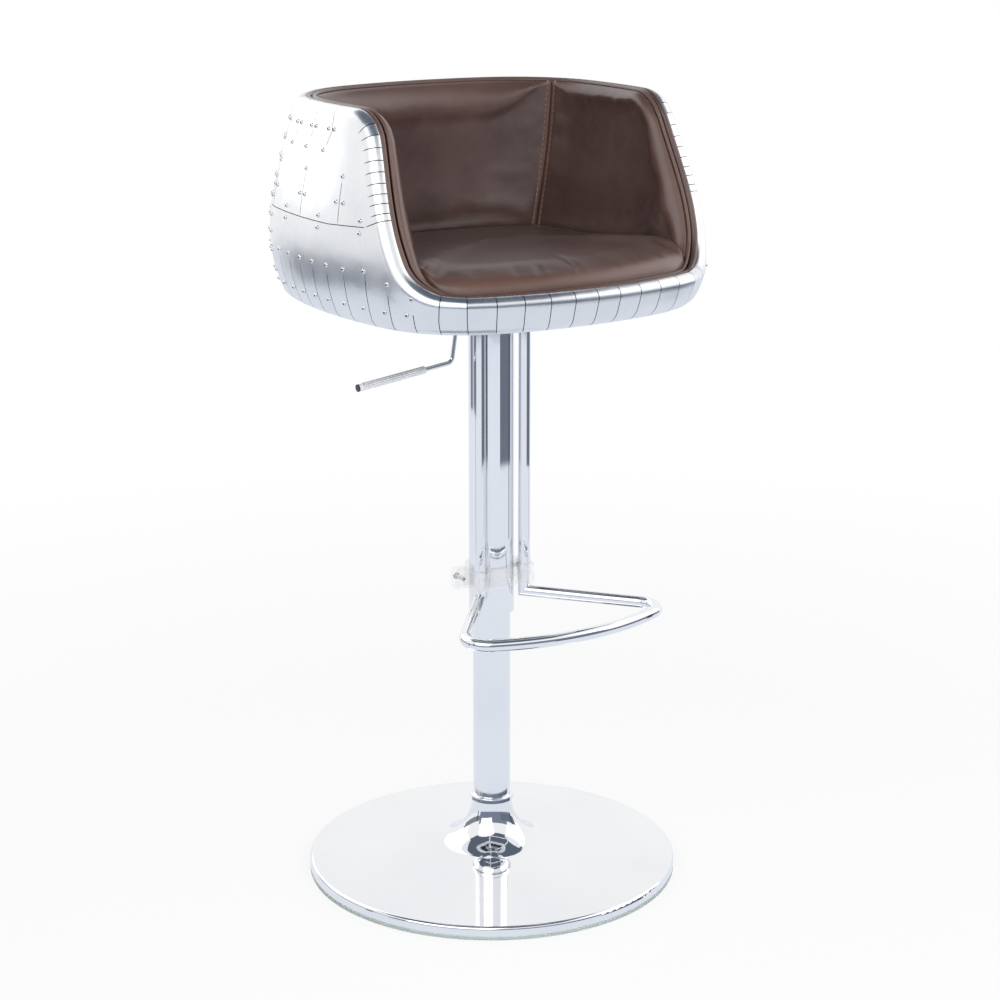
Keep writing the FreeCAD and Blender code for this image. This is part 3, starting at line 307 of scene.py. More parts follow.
def makeWorld():
    scene.world = bpy.data.worlds.new("studio")
    scene.world.use_nodes = True
    tree = scene.world.node_tree
    soft = tree.nodes["Background"]
    soft.inputs["Color"].default_value = studio["white"]
    soft.inputs["Strength"].default_value = studio["ambient"]
    white = addNode(tree, "ShaderNodeBackground", {"Color": studio["white"], "Strength": 1.0})
    seen = seenBy(tree, "Is Camera Ray", "Is Glossy Ray", "Is Transmission Ray")
    both = mixShaders(tree, seen, soft.outputs[0], white.outputs[0])
    feed(tree, tree.nodes["World Output"].inputs["Surface"], both)


def makeLights():
    for index, (place, aim, size, watts, mirrored) in enumerate(studio["lights"]):
        lamp = bpy.data.lights.new("softbox%d" % index, "AREA")
        lamp.size = size
        lamp.energy = watts
        box = placed(lamp.name, lamp)
        box.visible_glossy = mirrored
        box.location = place
        box.rotation_euler = (Vector(aim) - Vector(place)).to_track_quat("-Z", "Y").to_euler()


def makeCamera():
    lens = bpy.data.cameras.new("camera")
    lens.lens = camera["lens"]
    lens.sensor_width = camera["sensor"]
    eye = placed("camera", lens)
    eye.location = (math.sin(camera["bearing"]) * camera["distance"],
                    -math.cos(camera["bearing"]) * camera["distance"], camera["height"])
    eye.rotation_euler = (camera["tilt"], 0, camera["heading"])
    scene.camera = eye


makeFloor()
makeScreens()
makeCeiling()
makeWorld()
makeLights()
makeCamera()
scene.view_settings.view_transform = "Standard"
print("studio ready")


# Piece helpers

def newPiece(name, points, faces, material):
    mesh = bpy.data.meshes.new(name)
    mesh.from_pydata([tuple(p) for p in points], [], faces)
    mesh.materials.append(finish[material])
    mesh.shade_smooth()
    return placed(name, mesh)


def applyModifiers(piece):
    made = bpy.data.meshes.new_from_object(piece.evaluated_get(bpy.context.evaluated_depsgraph_get()))
    old = piece.data
    piece.modifiers.clear()
    piece.data = made
    bpy.data.meshes.remove(old)
    made.name = piece.name
    return piece


def outwards(piece):
    shell = bmesh.new()
    shell.from_mesh(piece.data)
    bmesh.ops.recalc_face_normals(shell, faces=shell.faces)
    shell.to_mesh(piece.data)
    shell.free()


def setWear(piece, values):
    piece.data.attributes.new("wear", "FLOAT", "POINT").data.foreach_set("value", np.ravel(values).astype("f"))


def settle(piece, body, replaced=()):
    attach(piece, body)
    if replaced:
        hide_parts(*replaced)
    return piece


def unit(vectors):
    return vectors / np.linalg.norm(vectors, axis=-1, keepdims=True)


def runAlong(points):
    return np.r_[0, np.cumsum(np.linalg.norm(np.diff(points, axis=0), axis=1))]


def tubeIndex(columns, rows):
    # point numbers of a grid whose rows close on themselves
    index = np.arange(columns * rows).reshape(columns, rows)
    return np.hstack([index, index[:, :1]])


def gridFaces(index, closedAround):
    # quads of a table of point numbers; repeated numbers make triangles or nothing
    columns, rows = index.shape
    faces = []
    for j in range(columns if closedAround else columns - 1):
        k = (j + 1) % columns
        for i in range(rows - 1):
            corners = []
            for p in (index[j, i], index[j, i + 1], index[k, i + 1], index[k, i]):
                if p not in corners:
                    corners.append(int(p))
            if len(corners) > 2:
                faces.append(corners)
    return faces


# Shape of the tub, the same curves as the CAD model

tub = {"heights": (0.789, 0.828, 0.868, 0.960, 1.051),
       "widths": (0.237, 0.252, 0.257, 0.247, 0.231),
       "fronts": (0.228, 0.243, 0.246, 0.240, 0.226),
       "backs": (0.246, 0.261, 0.266, 0.250, 0.224),
       "waist": 0.010, "sideBow": 0.600, "frontBow": 0.520, "backBow": 0.480,
       "frontCorner": 0.140, "backCorner": 0.150, "cornerLeast": 0.004,
       "rimTop": 1.050, "lip": 0.838, "armTop": 0.0757, "armFoot": 0.1649, "armRound": 0.058,
       "floorRound": 0.024, "roll": 0.015, "hem": 0.075,
       "wellSides": (0.058, 0.073, 0.075, 0.056, 0.036),
       "wellBacks": (0.074, 0.089, 0.092, 0.073, 0.048),
       "wellFront": 0.0296, "wellTighter": 0.062, "wellCorner": 0.028}
waist = tub["waist"]


def levelCurve(values):
    heights = np.array(tub["heights"])
    share = runAlong(np.stack([heights, tub["widths"]], -1))
    share /= share[-1]
    fine = np.linspace(0, 1, 800)
    degree = len(heights) - 1
    up = np.polyval(np.polyfit(share, heights, degree), fine)
    out = np.polyval(np.polyfit(share, values, degree), fine)
    return lambda z: np.interp(z, up, out)


outerWall = {"curves": [levelCurve(tub[key]) for key in ("widths", "fronts", "backs")],
             "tighter": 0.0, "backCorner": tub["backCorner"]}
seatWell = {"curves": [levelCurve(np.array(tub["widths"]) - tub["wellSides"]),
                       levelCurve(np.array(tub["fronts"]) - tub["wellFront"]),
                       levelCurve(np.array(tub["backs"]) - tub["wellBacks"])],
            "tighter": tub["wellTighter"], "backCorner": tub["wellTighter"] + tub["wellCorner"]}


def planRadius(angle, half, front, back, tighter, backCorner):
    # distance from the tub's middle to an outline of eight tangent arcs
    c, s = np.abs(np.cos(angle)), np.abs(np.sin(angle))
    ahead = np.sin(angle) < 0
    bow = np.where(ahead, tub["frontBow"], tub["backBow"])
    corner = np.where(ahead, tub["frontCorner"], max(backCorner, tighter + tub["cornerLeast"]))
    sideX = half + tighter - tub["sideBow"]
    bowY = np.where(ahead, front + waist, back - waist) + tighter - bow
    stepX, stepY = -sideX, bowY
    apart = np.hypot(stepX, stepY)
    sideReach, bowReach = tub["sideBow"] - corner, bow - corner
    along = (sideReach ** 2 - bowReach ** 2 + apart ** 2) / (2 * apart)
    across = np.sqrt(sideReach ** 2 - along ** 2)
    cornerX = sideX + (along * stepX - across * stepY) / apart
    cornerY = (along * stepY + across * stepX) / apart
    toSide = np.hypot(cornerX - sideX, cornerY)
    toBow = np.hypot(cornerX, cornerY - bowY)
    sideEnd = np.arctan2(cornerY / toSide * (tub["sideBow"] - tighter),
                         sideX + (cornerX - sideX) / toSide * (tub["sideBow"] - tighter))
    bowStart = np.arctan2(bowY + (cornerY - bowY) / toBow * (bow - tighter), cornerX / toBow * (bow - tighter))
    turn = np.arctan2(s, c)
    onSide, onBow = turn < sideEnd, turn > bowStart
    x = np.where(onSide, sideX, np.where(onBow, 0, cornerX))
    y = np.where(onSide, 0, np.where(onBow, bowY, cornerY))
    r = np.where(onSide, tub["sideBow"], np.where(onBow, bow, corner)) - tighter
    toward = c * x + s * y
    return toward + np.sqrt(toward ** 2 - (x ** 2 + y ** 2 - r ** 2))


def wallPoint(angle, z, form=outerWall, inset=0.0):
    angle, z = np.broadcast_arrays(np.asarray(angle, float), np.asarray(z, float))
    half, front, back = (curve(z) - inset for curve in form["curves"])
    reach = planRadius(angle, half, front, back, form["tighter"] + inset, form["backCorner"])
    return np.stack([reach * np.cos(angle), waist + reach * np.sin(angle), z], -1)


def wallNormal(angle, z, surface=wallPoint):
    step = 2e-4
    around = surface(angle + step, z) - surface(angle - step, z)
    up = surface(angle, z + step) - surface(angle, z - step)
    return unit(np.cross(around, up))


def planAngle(points):
    return np.arctan2(points[..., 1] - waist, points[..., 0])


def rimHeight(y, depth=0.0):
    # height of the rim, or of a line that lies depth below it, as seen from the side
    rake = math.atan2(tub["rimTop"] - tub["lip"], tub["armFoot"] - tub["armTop"])
    shift = depth * math.tan(rake / 2)
    top, lip = tub["rimTop"] - depth, tub["lip"] - depth
    topY, footY = shift - tub["armTop"], shift - tub["armFoot"]
    topRound, lipRound = tub["armRound"] - depth, tub["armRound"] + depth
    topTrim, lipTrim = topRound * math.tan(rake / 2), lipRound * math.tan(rake / 2)
    topArc = top - topRound + np.sqrt(np.maximum(topRound ** 2 - (y - topY - topTrim) ** 2, 0))
    lipArc = lip + lipRound - np.sqrt(np.maximum(lipRound ** 2 - (y - footY + lipTrim) ** 2, 0))
    ramp = top + (y - topY) * math.tan(rake)
    return np.select([y >= topY + topTrim, y >= topY - math.cos(rake) * topTrim,
                      y >= footY + math.cos(rake) * lipTrim, y >= footY - lipTrim],
                     [np.full_like(y, top), topArc, ramp, lipArc], lip)


def heightUnderRim(angleAt, count, depth, surface=wallPoint):
    # where columns meet a line below the rim; a column's plan angle may change with its height
    z = np.full(count, tub["heights"][3])
    for _ in range(60):
        z = 0.4 * z + 0.6 * rimHeight(surface(angleAt(z), z)[..., 1], depth)
    return z


def rimTable(count):
    # the rim's sharp edge, once round from the middle of the lip, with the directions that sweep along it
    def edgeAt(angle):
        return wallPoint(angle, heightUnderRim(lambda z: angle, len(angle), 0.0))

    fine = np.linspace(-math.pi / 2, 1.5 * math.pi, 4001)
    run = runAlong(edgeAt(fine))
    at = np.linspace(0, run[-1], count, endpoint=False)
    angle = np.interp(at, run, fine)
    edge = edgeAt(angle)
    along = unit(np.roll(edge, -1, 0) - np.roll(edge, 1, 0))
    wall = wallNormal(angle, edge[:, 2])
    step = 5e-4
    slope = (rimHeight(edge[:, 1] + step) - rimHeight(edge[:, 1] - step)) / (2 * step)
    up = unit(np.stack([0 * slope, -slope, 0 * slope + 1], -1))
    down = unit(np.cross(wall, along))
    down *= -np.sign(np.sum(down * up, -1, keepdims=True))
    inward = unit(np.cross(along, up))
    inward *= -np.sign(np.sum(inward * wall, -1, keepdims=True))
    return {"at": at, "length": run[-1], "edge": edge, "wall": wall, "up": up, "down": down, "inward": inward}


def pick(table, at):
    # the table's rows at other places along the rim
    low = np.r_[table["at"], table["length"]]
    found = {}
    for key in ("edge", "wall", "up", "down", "inward"):
        values = np.vstack([table[key], table[key][:1]])
        found[key] = np.stack([np.interp(at, low, values[:, k]) for k in range(3)], -1)
        if key != "edge":
            found[key] = unit(found[key])
    return found


rim = rimTable(4000)
print("rim runs %.3f m" % rim["length"])


# Cladding: one skin of sheet, slit where the real sheets are cut and lapped
# Angles are in degrees behind the sitter's side line

cladding = {"sheet": 0.0012, "gap": 0.0011, "band": 0.030, "rimReach": 0.0132, "tuck": 0.0006, "tuckDrop": 0.0003,
            "seam": 0.911, "seamRise": 0.008, "riseFrom": -12, "riseRun": 24, "seamClear": 0.002,
            "lean": 3.7, "leanRun": 0.030, "leanFrom": -26, "leanIn": 14, "leanTo": 78, "leanOut": 30,
            "strip": 7.5, "stripWider": 2.2, "widerAt": -29, "widerRun": 13.0, "lipEnd": -44, "widest": 16,
            "columnStep": 0.0042, "columnLeast": 0.0012, "armFront": -0.06,
            "facet": 0.85, "facetTop": 0.850, "facetRun": 0.030, "facetBelow": 0.022, "sharp": 38,
            "rollRows": 8, "tailRows": 3, "upperRows": 15, "lowerRows": 15, "floorRows": 7, "hemRows": 3,
            "topDarts": (-4.4, 6.6, 17.2, 27.7, 38.2, 48.7, 59.2, 69.7, 80.2), "topEnd": 1.000,
            "midDarts": (-13.0, 7.7, 28.6, 49.4, 70.2), "midTop": 0.966, "backSeam": 32.5,
            "ticks": (0.9345, 0.946, 0.957, 0.969, 0.982, 0.995, 1.009, 1.023, 1.035),
            "dartBacks": (-41, -33, -25, -17), "dartTops": (0.828, 0.847, 0.860, 0.857)}


def bothSides(degrees):
    # plan angles on the left and on the right
    return (math.radians(degrees), math.pi - math.radians(degrees))


def stripAngles():
    # strips are a little wider below the arms' fronts
    half = np.arange(-90, 90.1, cladding["strip"])
    return half - cladding["stripWider"] * np.exp(-((half - cladding["widerAt"]) / cladding["widerRun"]) ** 2)


def sideLine(angle):
    return np.degrees(np.arcsin(np.clip(np.sin(angle), -1, 1)))


def leaned(angle, drop):
    # plan angle after the slant of the darts, a drop below the band's foot
    back = sideLine(angle)
    weight = (np.clip((back - cladding["leanFrom"]) / cladding["leanIn"], 0, 1)
              * np.clip((cladding["leanTo"] - back) / cladding["leanOut"], 0, 1))
    amount = math.radians(cladding["lean"]) * weight * np.clip(drop / cladding["leanRun"], 0, 1)
    return angle + np.where(np.cos(angle) > 0, amount, -amount)


def seamHeight(angle):
    rise = np.clip((cladding["riseFrom"] - sideLine(angle)) / cladding["riseRun"], 0, 1)
    return cladding["seam"] + cladding["seamRise"] * rise


def dartStart(back):
    # rivets that end the lower darts drop towards the front
    return np.interp(back, cladding["dartBacks"], cladding["dartTops"])


def rowShares(key):
    return np.arange(1, cladding[key] + 1) / cladding[key]


def claddingColumns():
    # places of the skin's columns along the rim, and the columns that carry each kind of cut
    foot = rim["edge"] + rim["down"] * cladding["band"]
    foot = wallPoint(planAngle(foot), foot[..., 2])
    footAngle = np.unwrap(planAngle(foot))
    lowAngle = leaned(footAngle, 1.0)

    def placeOf(angles, degrees):
        # the middles of the lip and of the back are met once, other places on both sides
        wanted = np.array([a for d in degrees for a in bothSides(d)[:2 if abs(d) < 89.9 else 1]])
        wanted = angles[0] + (wanted - angles[0]) % fullTurn
        return np.interp(wanted, np.r_[angles, angles[0] + fullTurn], np.r_[rim["at"], rim["length"]])

    marks = {"strip": placeOf(lowAngle, stripAngles()), "top": placeOf(footAngle, cladding["topDarts"]),
             "mid": placeOf(lowAngle, cladding["midDarts"]), "back": placeOf(lowAngle, [cladding["backSeam"]]),
             "tick": [], "seamEnd": []}
    for side in (-1, 1):
        chosen = (rim["edge"][:, 1] < cladding["armFront"]) & (rim["edge"][:, 0] * side > 0)
        height, place = rim["edge"][chosen, 2], rim["at"][chosen]
        order = np.argsort(height)
        marks["tick"] += list(np.interp(cladding["ticks"], height[order], place[order]))
        miss = np.abs(foot[:, 2] - seamHeight(footAngle)) + 10 * ~chosen
        marks["seamEnd"].append(rim["at"][np.argmin(miss)])
    at = np.sort(np.concatenate(list(marks.values())))
    at = at[np.r_[True, np.diff(at) > cladding["columnLeast"]]]
    full = []
    for start, width in zip(at, np.diff(np.r_[at, at[0] + rim["length"]])):
        parts = math.ceil(width / cladding["columnStep"])
        full += [(start + width * k / parts) % rim["length"] for k in range(parts)]
    at = np.sort(np.array(full))
    return at, {kind: [int(np.argmin(np.abs(at - place))) for place in places] for kind, places in marks.items()}


def claddingPoints(at):
    # column by column: over the roll, down the wall, round the lower edge and under the tub
    row = pick(rim, at)
    cosine = np.sum(row["wall"] * row["up"], -1, keepdims=True)
    opening = np.arccos(cosine)
    roll = np.minimum(tub["roll"], cladding["rimReach"] / np.tan(opening / 2))
    middle = row["edge"] - roll * (row["wall"] + row["up"]) / (1 + cosine)
    tucked = cladding["rimReach"] + cladding["tuck"]
    lines = [row["edge"] + row["inward"] * tucked - row["up"] * cladding["tuckDrop"]]
    for share in np.linspace(1, 0, cladding["rollRows"]):
        way = np.sin((1 - share) * opening) * row["wall"] + np.sin(share * opening) * row["up"]
        lines.append(middle + roll * way / np.sin(opening))
    trim = roll * np.tan(opening / 2)
    for share in rowShares("tailRows"):
        spot = row["edge"] + row["down"] * (trim + (cladding["band"] - trim) * share)
        lines.append(wallPoint(planAngle(spot), spot[..., 2]))
    skin = {"foot": lines[-1][:, 2], "footRow": len(lines) - 1}
    foot, angle = skin["foot"], np.unwrap(planAngle(lines[-1]))
    seam = skin["seam"] = np.minimum(seamHeight(angle), foot)
    for share in rowShares("upperRows"):
        z = foot + (seam - foot) * share
        lines.append(wallPoint(leaned(angle, foot - z), z))
    skin["seamRow"] = len(lines) - 1
    lower = leaned(angle, foot - seam)
    bend, bottom = tub["floorRound"], tub["heights"][0]
    touch, step = np.full(len(at), bottom + bend), 1e-3
    for _ in range(20):
        inner, outer = (np.linalg.norm(wallPoint(lower, touch + move)[:, :2] - (0, waist), axis=1)
                        for move in (-step, step))
        slope = (outer - inner) / (2 * step)
        touch = bottom + bend - bend * slope / np.hypot(1, slope)
    touch = np.minimum(touch, seam - cladding["seamClear"])
    for share in rowShares("lowerRows"):
        lines.append(wallPoint(lower, seam + (touch - seam) * share))
    skin["touchRow"] = len(lines) - 1
    out = np.stack([np.cos(lower), np.sin(lower), 0 * lower], -1)
    tilt = np.arctan(slope)

    def bent(fall):
        return bend * (out * np.cos(fall)[:, None] + upwards * np.sin(fall)[:, None])

    bendMiddle = lines[-1] - bent(-tilt)
    for share in rowShares("floorRows"):
        lines.append(bendMiddle + bent(-tilt + (tilt - math.pi / 2) * share))
    hemStart = lines[-1]
    hemEnd = wallPoint(lower, bottom, inset=tub["hem"])
    hemEnd[:, 2] = hemStart[:, 2]
    for share in rowShares("hemRows"):
        lines.append(hemStart + (hemEnd - hemStart) * share)
    skin["points"], skin["back"] = np.stack(lines, 1), sideLine(lower)
    return skin


def claddingSlits(skin, column):
    # runs of edges that are cut, as column, first row, last row
    points, back, footRow, seamRow = (skin[key] for key in ("points", "back", "footRow", "seamRow"))
    end = points.shape[1] - 1

    def rowAt(j, first, last, z):
        return first + int(np.argmin(np.abs(points[j, first:last, 2] - z)))

    slits = []
    for j in column["strip"]:
        onLip = back[j] < cladding["lipEnd"]
        slits.append((j, 0 if onLip else rowAt(j, seamRow, skin["touchRow"], dartStart(back[j])), end))
    slits += [(j, 0, cladding["rollRows"] + 1) for j in column["tick"]]
    slits += [(j, 0, footRow) for j in column["seamEnd"]]
    slits += [(j, 0, rowAt(j, footRow, seamRow, cladding["topEnd"])) for j in column["top"]]
    slits += [(j, rowAt(j, footRow, seamRow, cladding["midTop"]), seamRow) for j in column["mid"]]
    return slits + [(j, 0, end) for j in column["back"]]


def flattenStrips(skin, at, chosen, first, last, strength):
    # strips are nearly flat between two slits
    points, count = skin["points"][:, first:last], len(at)
    chosen = sorted(set(chosen))
    for a, b in zip(chosen, chosen[1:] + [chosen[0] + count]):
        if b - a > cladding["widest"]:
            continue
        width = (at[b % count] - at[a]) % rim["length"]
        for j in (k % count for k in range(a + 1, b)):
            share = (at[j] - at[a]) % rim["length"] / width
            chord = points[a] * (1 - share) + points[b % count] * share
            points[j] += (chord - points[j]) * cladding["facet"] * strength[j, first:last, None]


def slitSkin(skin, slits):
    # the skin as a mesh, open along its slits
    points, foot, seam, seamRow = (skin[key] for key in ("points", "foot", "seam", "seamRow"))
    count, rows = points.shape[:2]
    # one number per point, shared where rows have run together
    index = np.arange(count * rows).reshape(count, rows)
    for i in range(1, rows):
        same = np.linalg.norm(points[:, i] - points[:, i - 1], axis=1) < 1e-6
        index[same, i] = index[same, i - 1]
    shell = bmesh.new()
    verts = {int(p): shell.verts.new(points.reshape(-1, 3)[p]) for p in np.unique(index)}
    for face in gridFaces(index, True):
        shell.faces.new([verts[p] for p in face])
    mark = shell.edges.layers.int.new("slit")
    pairs = [(index[j, i], index[j, i + 1]) for j, first, last in slits for i in range(first, last)]
    split = foot > seam + 1e-5
    for j in range(count):
        k = (j + 1) % count
        if split[j] and split[k]:
            pairs.append((index[j, seamRow], index[k, seamRow]))
    cuts = {shell.edges.get((verts[a], verts[b])) for a, b in pairs if a != b} - {None}
    for edge in cuts:
        edge[mark] = 1
    bmesh.ops.split_edges(shell, edges=list(cuts))
    shell.normal_update()
    moves = []
    for vert in shell.verts:
        slit = [e for e in vert.link_edges if e[mark] and e.is_boundary]
        if not slit or len(vert.link_faces) > 3:
            continue
        way = sum((f.calc_center_median() for f in vert.link_faces), Vector()) / len(vert.link_faces) - vert.co
        runs = [(e.other_vert(vert).co - vert.co).normalized() for e in slit]
        if len(runs) == 1 or abs(runs[0].dot(runs[1])) > 0.7:
            way -= runs[0] * way.dot(runs[0])
        moves.append((vert, way.normalized() * cladding["gap"] / 2))
    for vert, move in moves:
        vert.co += move
    mesh = bpy.data.meshes.new("tubCladding")
    shell.to_mesh(mesh)
    shell.free()
    return mesh


def makeCladding():
    at, column = claddingColumns()
    skin = claddingPoints(at)
    slits = claddingSlits(skin, column)
    points, back = skin["points"], skin["back"][:, None]
    onLip = back < cladding["lipEnd"]
    low = np.clip((cladding["facetTop"] - points[:, :, 2]) / cladding["facetRun"], 0, 1)
    below = np.clip((skin["foot"][:, None] - points[:, :, 2]) / cladding["facetBelow"], 0, 1)
    lip = [j for j in column["strip"] if onLip[j]]
    even = np.ones_like(low)
    flattenStrips(skin, at, column["strip"], skin["seamRow"], points.shape[1], low * np.where(onLip, 1, below))
    flattenStrips(skin, at, lip, 0, skin["seamRow"], even)
    flattenStrips(skin, at, column["tick"] + column["seamEnd"], 0, skin["footRow"], even)
    mesh = slitSkin(skin, slits)
    mesh.materials.append(finish["polished_aluminium"])
    mesh.shade_smooth()
    piece = placed("tubCladding", mesh)
    sheet = piece.modifiers.new("sheet", "SOLIDIFY")
    sheet.thickness = cladding["sheet"]
    sheet.offset = -1
    applyModifiers(piece)
    piece.data.set_sharp_from_angle(angle=math.radians(cladding["sharp"]))
    settle(piece, "seat", [
        "rim_strips", "skirt_strips", "upper_panel_back", "upper_panel_left", "upper_panel_right",
        "lower_panel_back", "lower_panel_left", "lower_panel_right"])
    print("cladding:", len(piece.data.polygons), "faces")


makeCladding()


# Repeats by Geometry Nodes

def repeatTree(name, sizes):
    # a tree with its inputs and output, and the identifiers of its inputs
    tree = bpy.data.node_groups.new(name, "GeometryNodeTree")
    tree.is_modifier = True
    keys = {}
    for label, kind in [("Geometry", "Geometry"), *((size, "Float") for size in sizes), ("Finish", "Material")]:
        socket = tree.interface.new_socket(label, in_out="INPUT", socket_type="NodeSocket" + kind)
        keys[label] = socket.identifier
    tree.interface.new_socket("Geometry", in_out="OUTPUT", socket_type="NodeSocketGeometry")
    return tree, addNode(tree, "NodeGroupInput").outputs, keys


def domeShape(tree, radius, rise):
    # a flattened ball, half of which stands proud
    ball = addNode(tree, "GeometryNodeMeshUVSphere", {"Segments": 14, "Rings": 8, "Radius": 1.0})
    spread = addNode(tree, "ShaderNodeCombineXYZ", {"X": radius, "Y": radius, "Z": rise})
    shape = addNode(tree, "GeometryNodeTransform", {"Geometry": ball.outputs["Mesh"], "Scale": spread.outputs[0]})
    return addNode(tree, "GeometryNodeSetShadeSmooth", {"Geometry": shape.outputs[0]}).outputs[0]


def copiesOn(tree, given, points, direction, shape):
    # copies of a shape, each stood along its direction, made real and painted
    turn = addNode(tree, "FunctionNodeAlignRotationToVector", {"Vector": direction}, axis="Z")
    copies = addNode(tree, "GeometryNodeInstanceOnPoints", {
        "Points": points, "Instance": shape, "Rotation": turn.outputs["Rotation"]})
    real = addNode(tree, "GeometryNodeRealizeInstances", {"Geometry": copies.outputs[0]})
    paint = addNode(tree, "GeometryNodeSetMaterial", {"Geometry": real.outputs[0], "Material": given["Finish"]})
    addNode(tree, "NodeGroupOutput", {"Geometry": paint.outputs[0]})


def rivetTree():
    tree, given, keys = repeatTree("rivetRow", ("Radius", "Rise", "Lift"))
    facing = addNode(tree, "GeometryNodeInputNamedAttribute", {"Name": "facing"}, data_type="FLOAT_VECTOR")
    facing = facing.outputs["Attribute"]
    raised = addNode(tree, "ShaderNodeVectorMath", {0: facing, "Scale": given["Lift"]}, operation="SCALE")
    moved = addNode(tree, "GeometryNodeSetPosition", {"Geometry": given["Geometry"], "Offset": raised.outputs[0]})
    copiesOn(tree, given, moved.outputs[0], facing, domeShape(tree, given["Radius"], given["Rise"]))
    return tree, keys


def stitchTree():
    tree, given, keys = repeatTree("stitchRow", ("Pitch", "Radius", "Half length"))
    line = addNode(tree, "GeometryNodeMeshToCurve", {"Mesh": given["Geometry"]})
    spots = addNode(tree, "GeometryNodeCurveToPoints", {"Curve": line.outputs[0], "Length": given["Pitch"]},
                    mode="LENGTH").outputs
    copiesOn(tree, given, spots["Points"], spots["Tangent"], domeShape(tree, given["Radius"], given["Half length"]))
    return tree, keys


def repeated(name, treeAndKeys, points, edges, values, material, facing=None):
    tree, keys = treeAndKeys
    mesh = bpy.data.meshes.new(name)
    mesh.from_pydata([tuple(p) for p in points], edges, [])
    if facing is not None:
        made = mesh.attributes.new("facing", "FLOAT_VECTOR", "POINT")
        made.data.foreach_set("vector", np.ravel(facing).astype("f"))
    piece = placed(name, mesh)
    copies = piece.modifiers.new("repeat", "NODES")
    copies.node_group = tree
    for key, value in values.items():
        copies[keys[key]] = value
    copies[keys["Finish"]] = finish[material]
    return applyModifiers(piece)


# the pin sizes are those of the near-black dots of painted shade that stand in for the hollow in each rivet's middle
rivetHeads = {"radius": 0.0031, "rise": 0.0018, "shadeDotRadius": 0.0014, "shadeDotRise": 0.0006, "shadeDotLift": 0.0016,
              "lowRow": 0.815, "lowBehind": 1.8, "dartAbove": 0.003, "lipBehind": 3.4, "lipFall": 62,
              "topPair": 1.0225, "topSpread": 1.6, "topBelow": 0.004, "topDrop": 0.004,
              "midPair": 0.939, "midSpread": 1.7, "midAbove": 0.004,
              "seamPairs": (-22.5, -3.0, 17.5, 38.0, 58.5, 79.0), "seamApart": 0.0075,
              "backRows": (0.828, 0.853, 0.878, 0.899, 0.924, 0.949, 0.974, 0.999, 1.022), "backSpread": 2.4}


def rivetSpots():
    # degrees behind the side line and height, and the degrees of those on the lip's rounding
    size = rivetHeads
    spots, folded = [], []

    def pair(back, spread, z):
        spots.extend([(back - spread, z), (back + spread, z)])

    for back in stripAngles():
        if back > cladding["lipEnd"]:
            spots.append((back, float(dartStart(back)) + size["dartAbove"]))
            spots.append((back + size["lowBehind"], size["lowRow"]))
        else:
            folded.append(back + size["lipBehind"])
    for back in cladding["topDarts"]:
        low, near = (math.degrees(leaned(math.radians(back), drop)) for drop in (1.0, size["topDrop"]))
        spots.append((low, cladding["topEnd"] - size["topBelow"]))
        pair(near, size["topSpread"], size["topPair"])
    for back in cladding["midDarts"]:
        spots.append((back, cladding["midTop"] + size["midAbove"]))
        pair(back, size["midSpread"], size["midPair"])
    for back in size["seamPairs"]:
        seam = float(seamHeight(math.radians(back)))
        spots += [(back, seam + size["seamApart"]), (back, seam - size["seamApart"])]
    for z in size["backRows"]:
        pair(cladding["backSeam"], size["backSpread"], z)
    return spots, folded


def makeRivets():
    size = rivetHeads
    spots, folded = rivetSpots()
    angle = np.array([a for back, _ in spots for a in bothSides(back)])
    z = np.array([z for _, z in spots for _ in range(2)])
    place, facing = wallPoint(angle, z), wallNormal(angle, z)
    # the lip's rivets stand on the rounding at its foot
    turn = np.array([a for back in folded for a in bothSides(back)])
    bend, fall = tub["floorRound"], math.radians(size["lipFall"])
    low = wallPoint(turn, np.full_like(turn, tub["heights"][0] + bend))
    lean = wallNormal(turn, low[:, 2])
    way = unit(lean * (1, 1, 0)) * math.cos(fall) - upwards * math.sin(fall)
    place, facing = np.vstack([place, low - bend * lean + bend * way]), np.vstack([facing, way])
    tree = rivetTree()
    heads = repeated("rivetHeads", tree, place, [], {
        "Radius": size["radius"], "Rise": size["rise"], "Lift": 0.0}, "rivet", facing)
    # near-black dots raised over the heads, painted shade in place of the shaded hollow in each rivet's middle
    shadeDots = repeated("rivetHoleShades", tree, place, [], {
        "Radius": size["shadeDotRadius"], "Rise": size["shadeDotRise"], "Lift": size["shadeDotLift"]}, "rivetHoleShade", facing)
    settle(heads, "seat", ["panel_rivets"])
    settle(shadeDots, "seat")
    print("rivets:", len(place))


makeRivets()


# Fluted grip of the lift lever; collar and nose are distances from its ends and radii

grip = {"start": (-0.101, 0.0, 0.7061), "end": (-0.199, 0.0, 0.6941), "flutes": 12, "radius": 0.0051,
        "depth": 0.0006, "hollow": 0.7, "sides": 120, "rows": 30, "fluteEnd": 0.0026, "fade": 0.003, "cap": 0.002,
        "collar": ((0.0, 0.0031), (0.0, 0.0042), (0.0008, 0.0047), (0.0022, 0.0047)),
        "nose": ((-0.0022, 0.0047), (0.0014, 0.0047), (0.0022, 0.0041), (0.0022, 0.0019), (0.0012, 0.0017)),
        "sharp": 40}


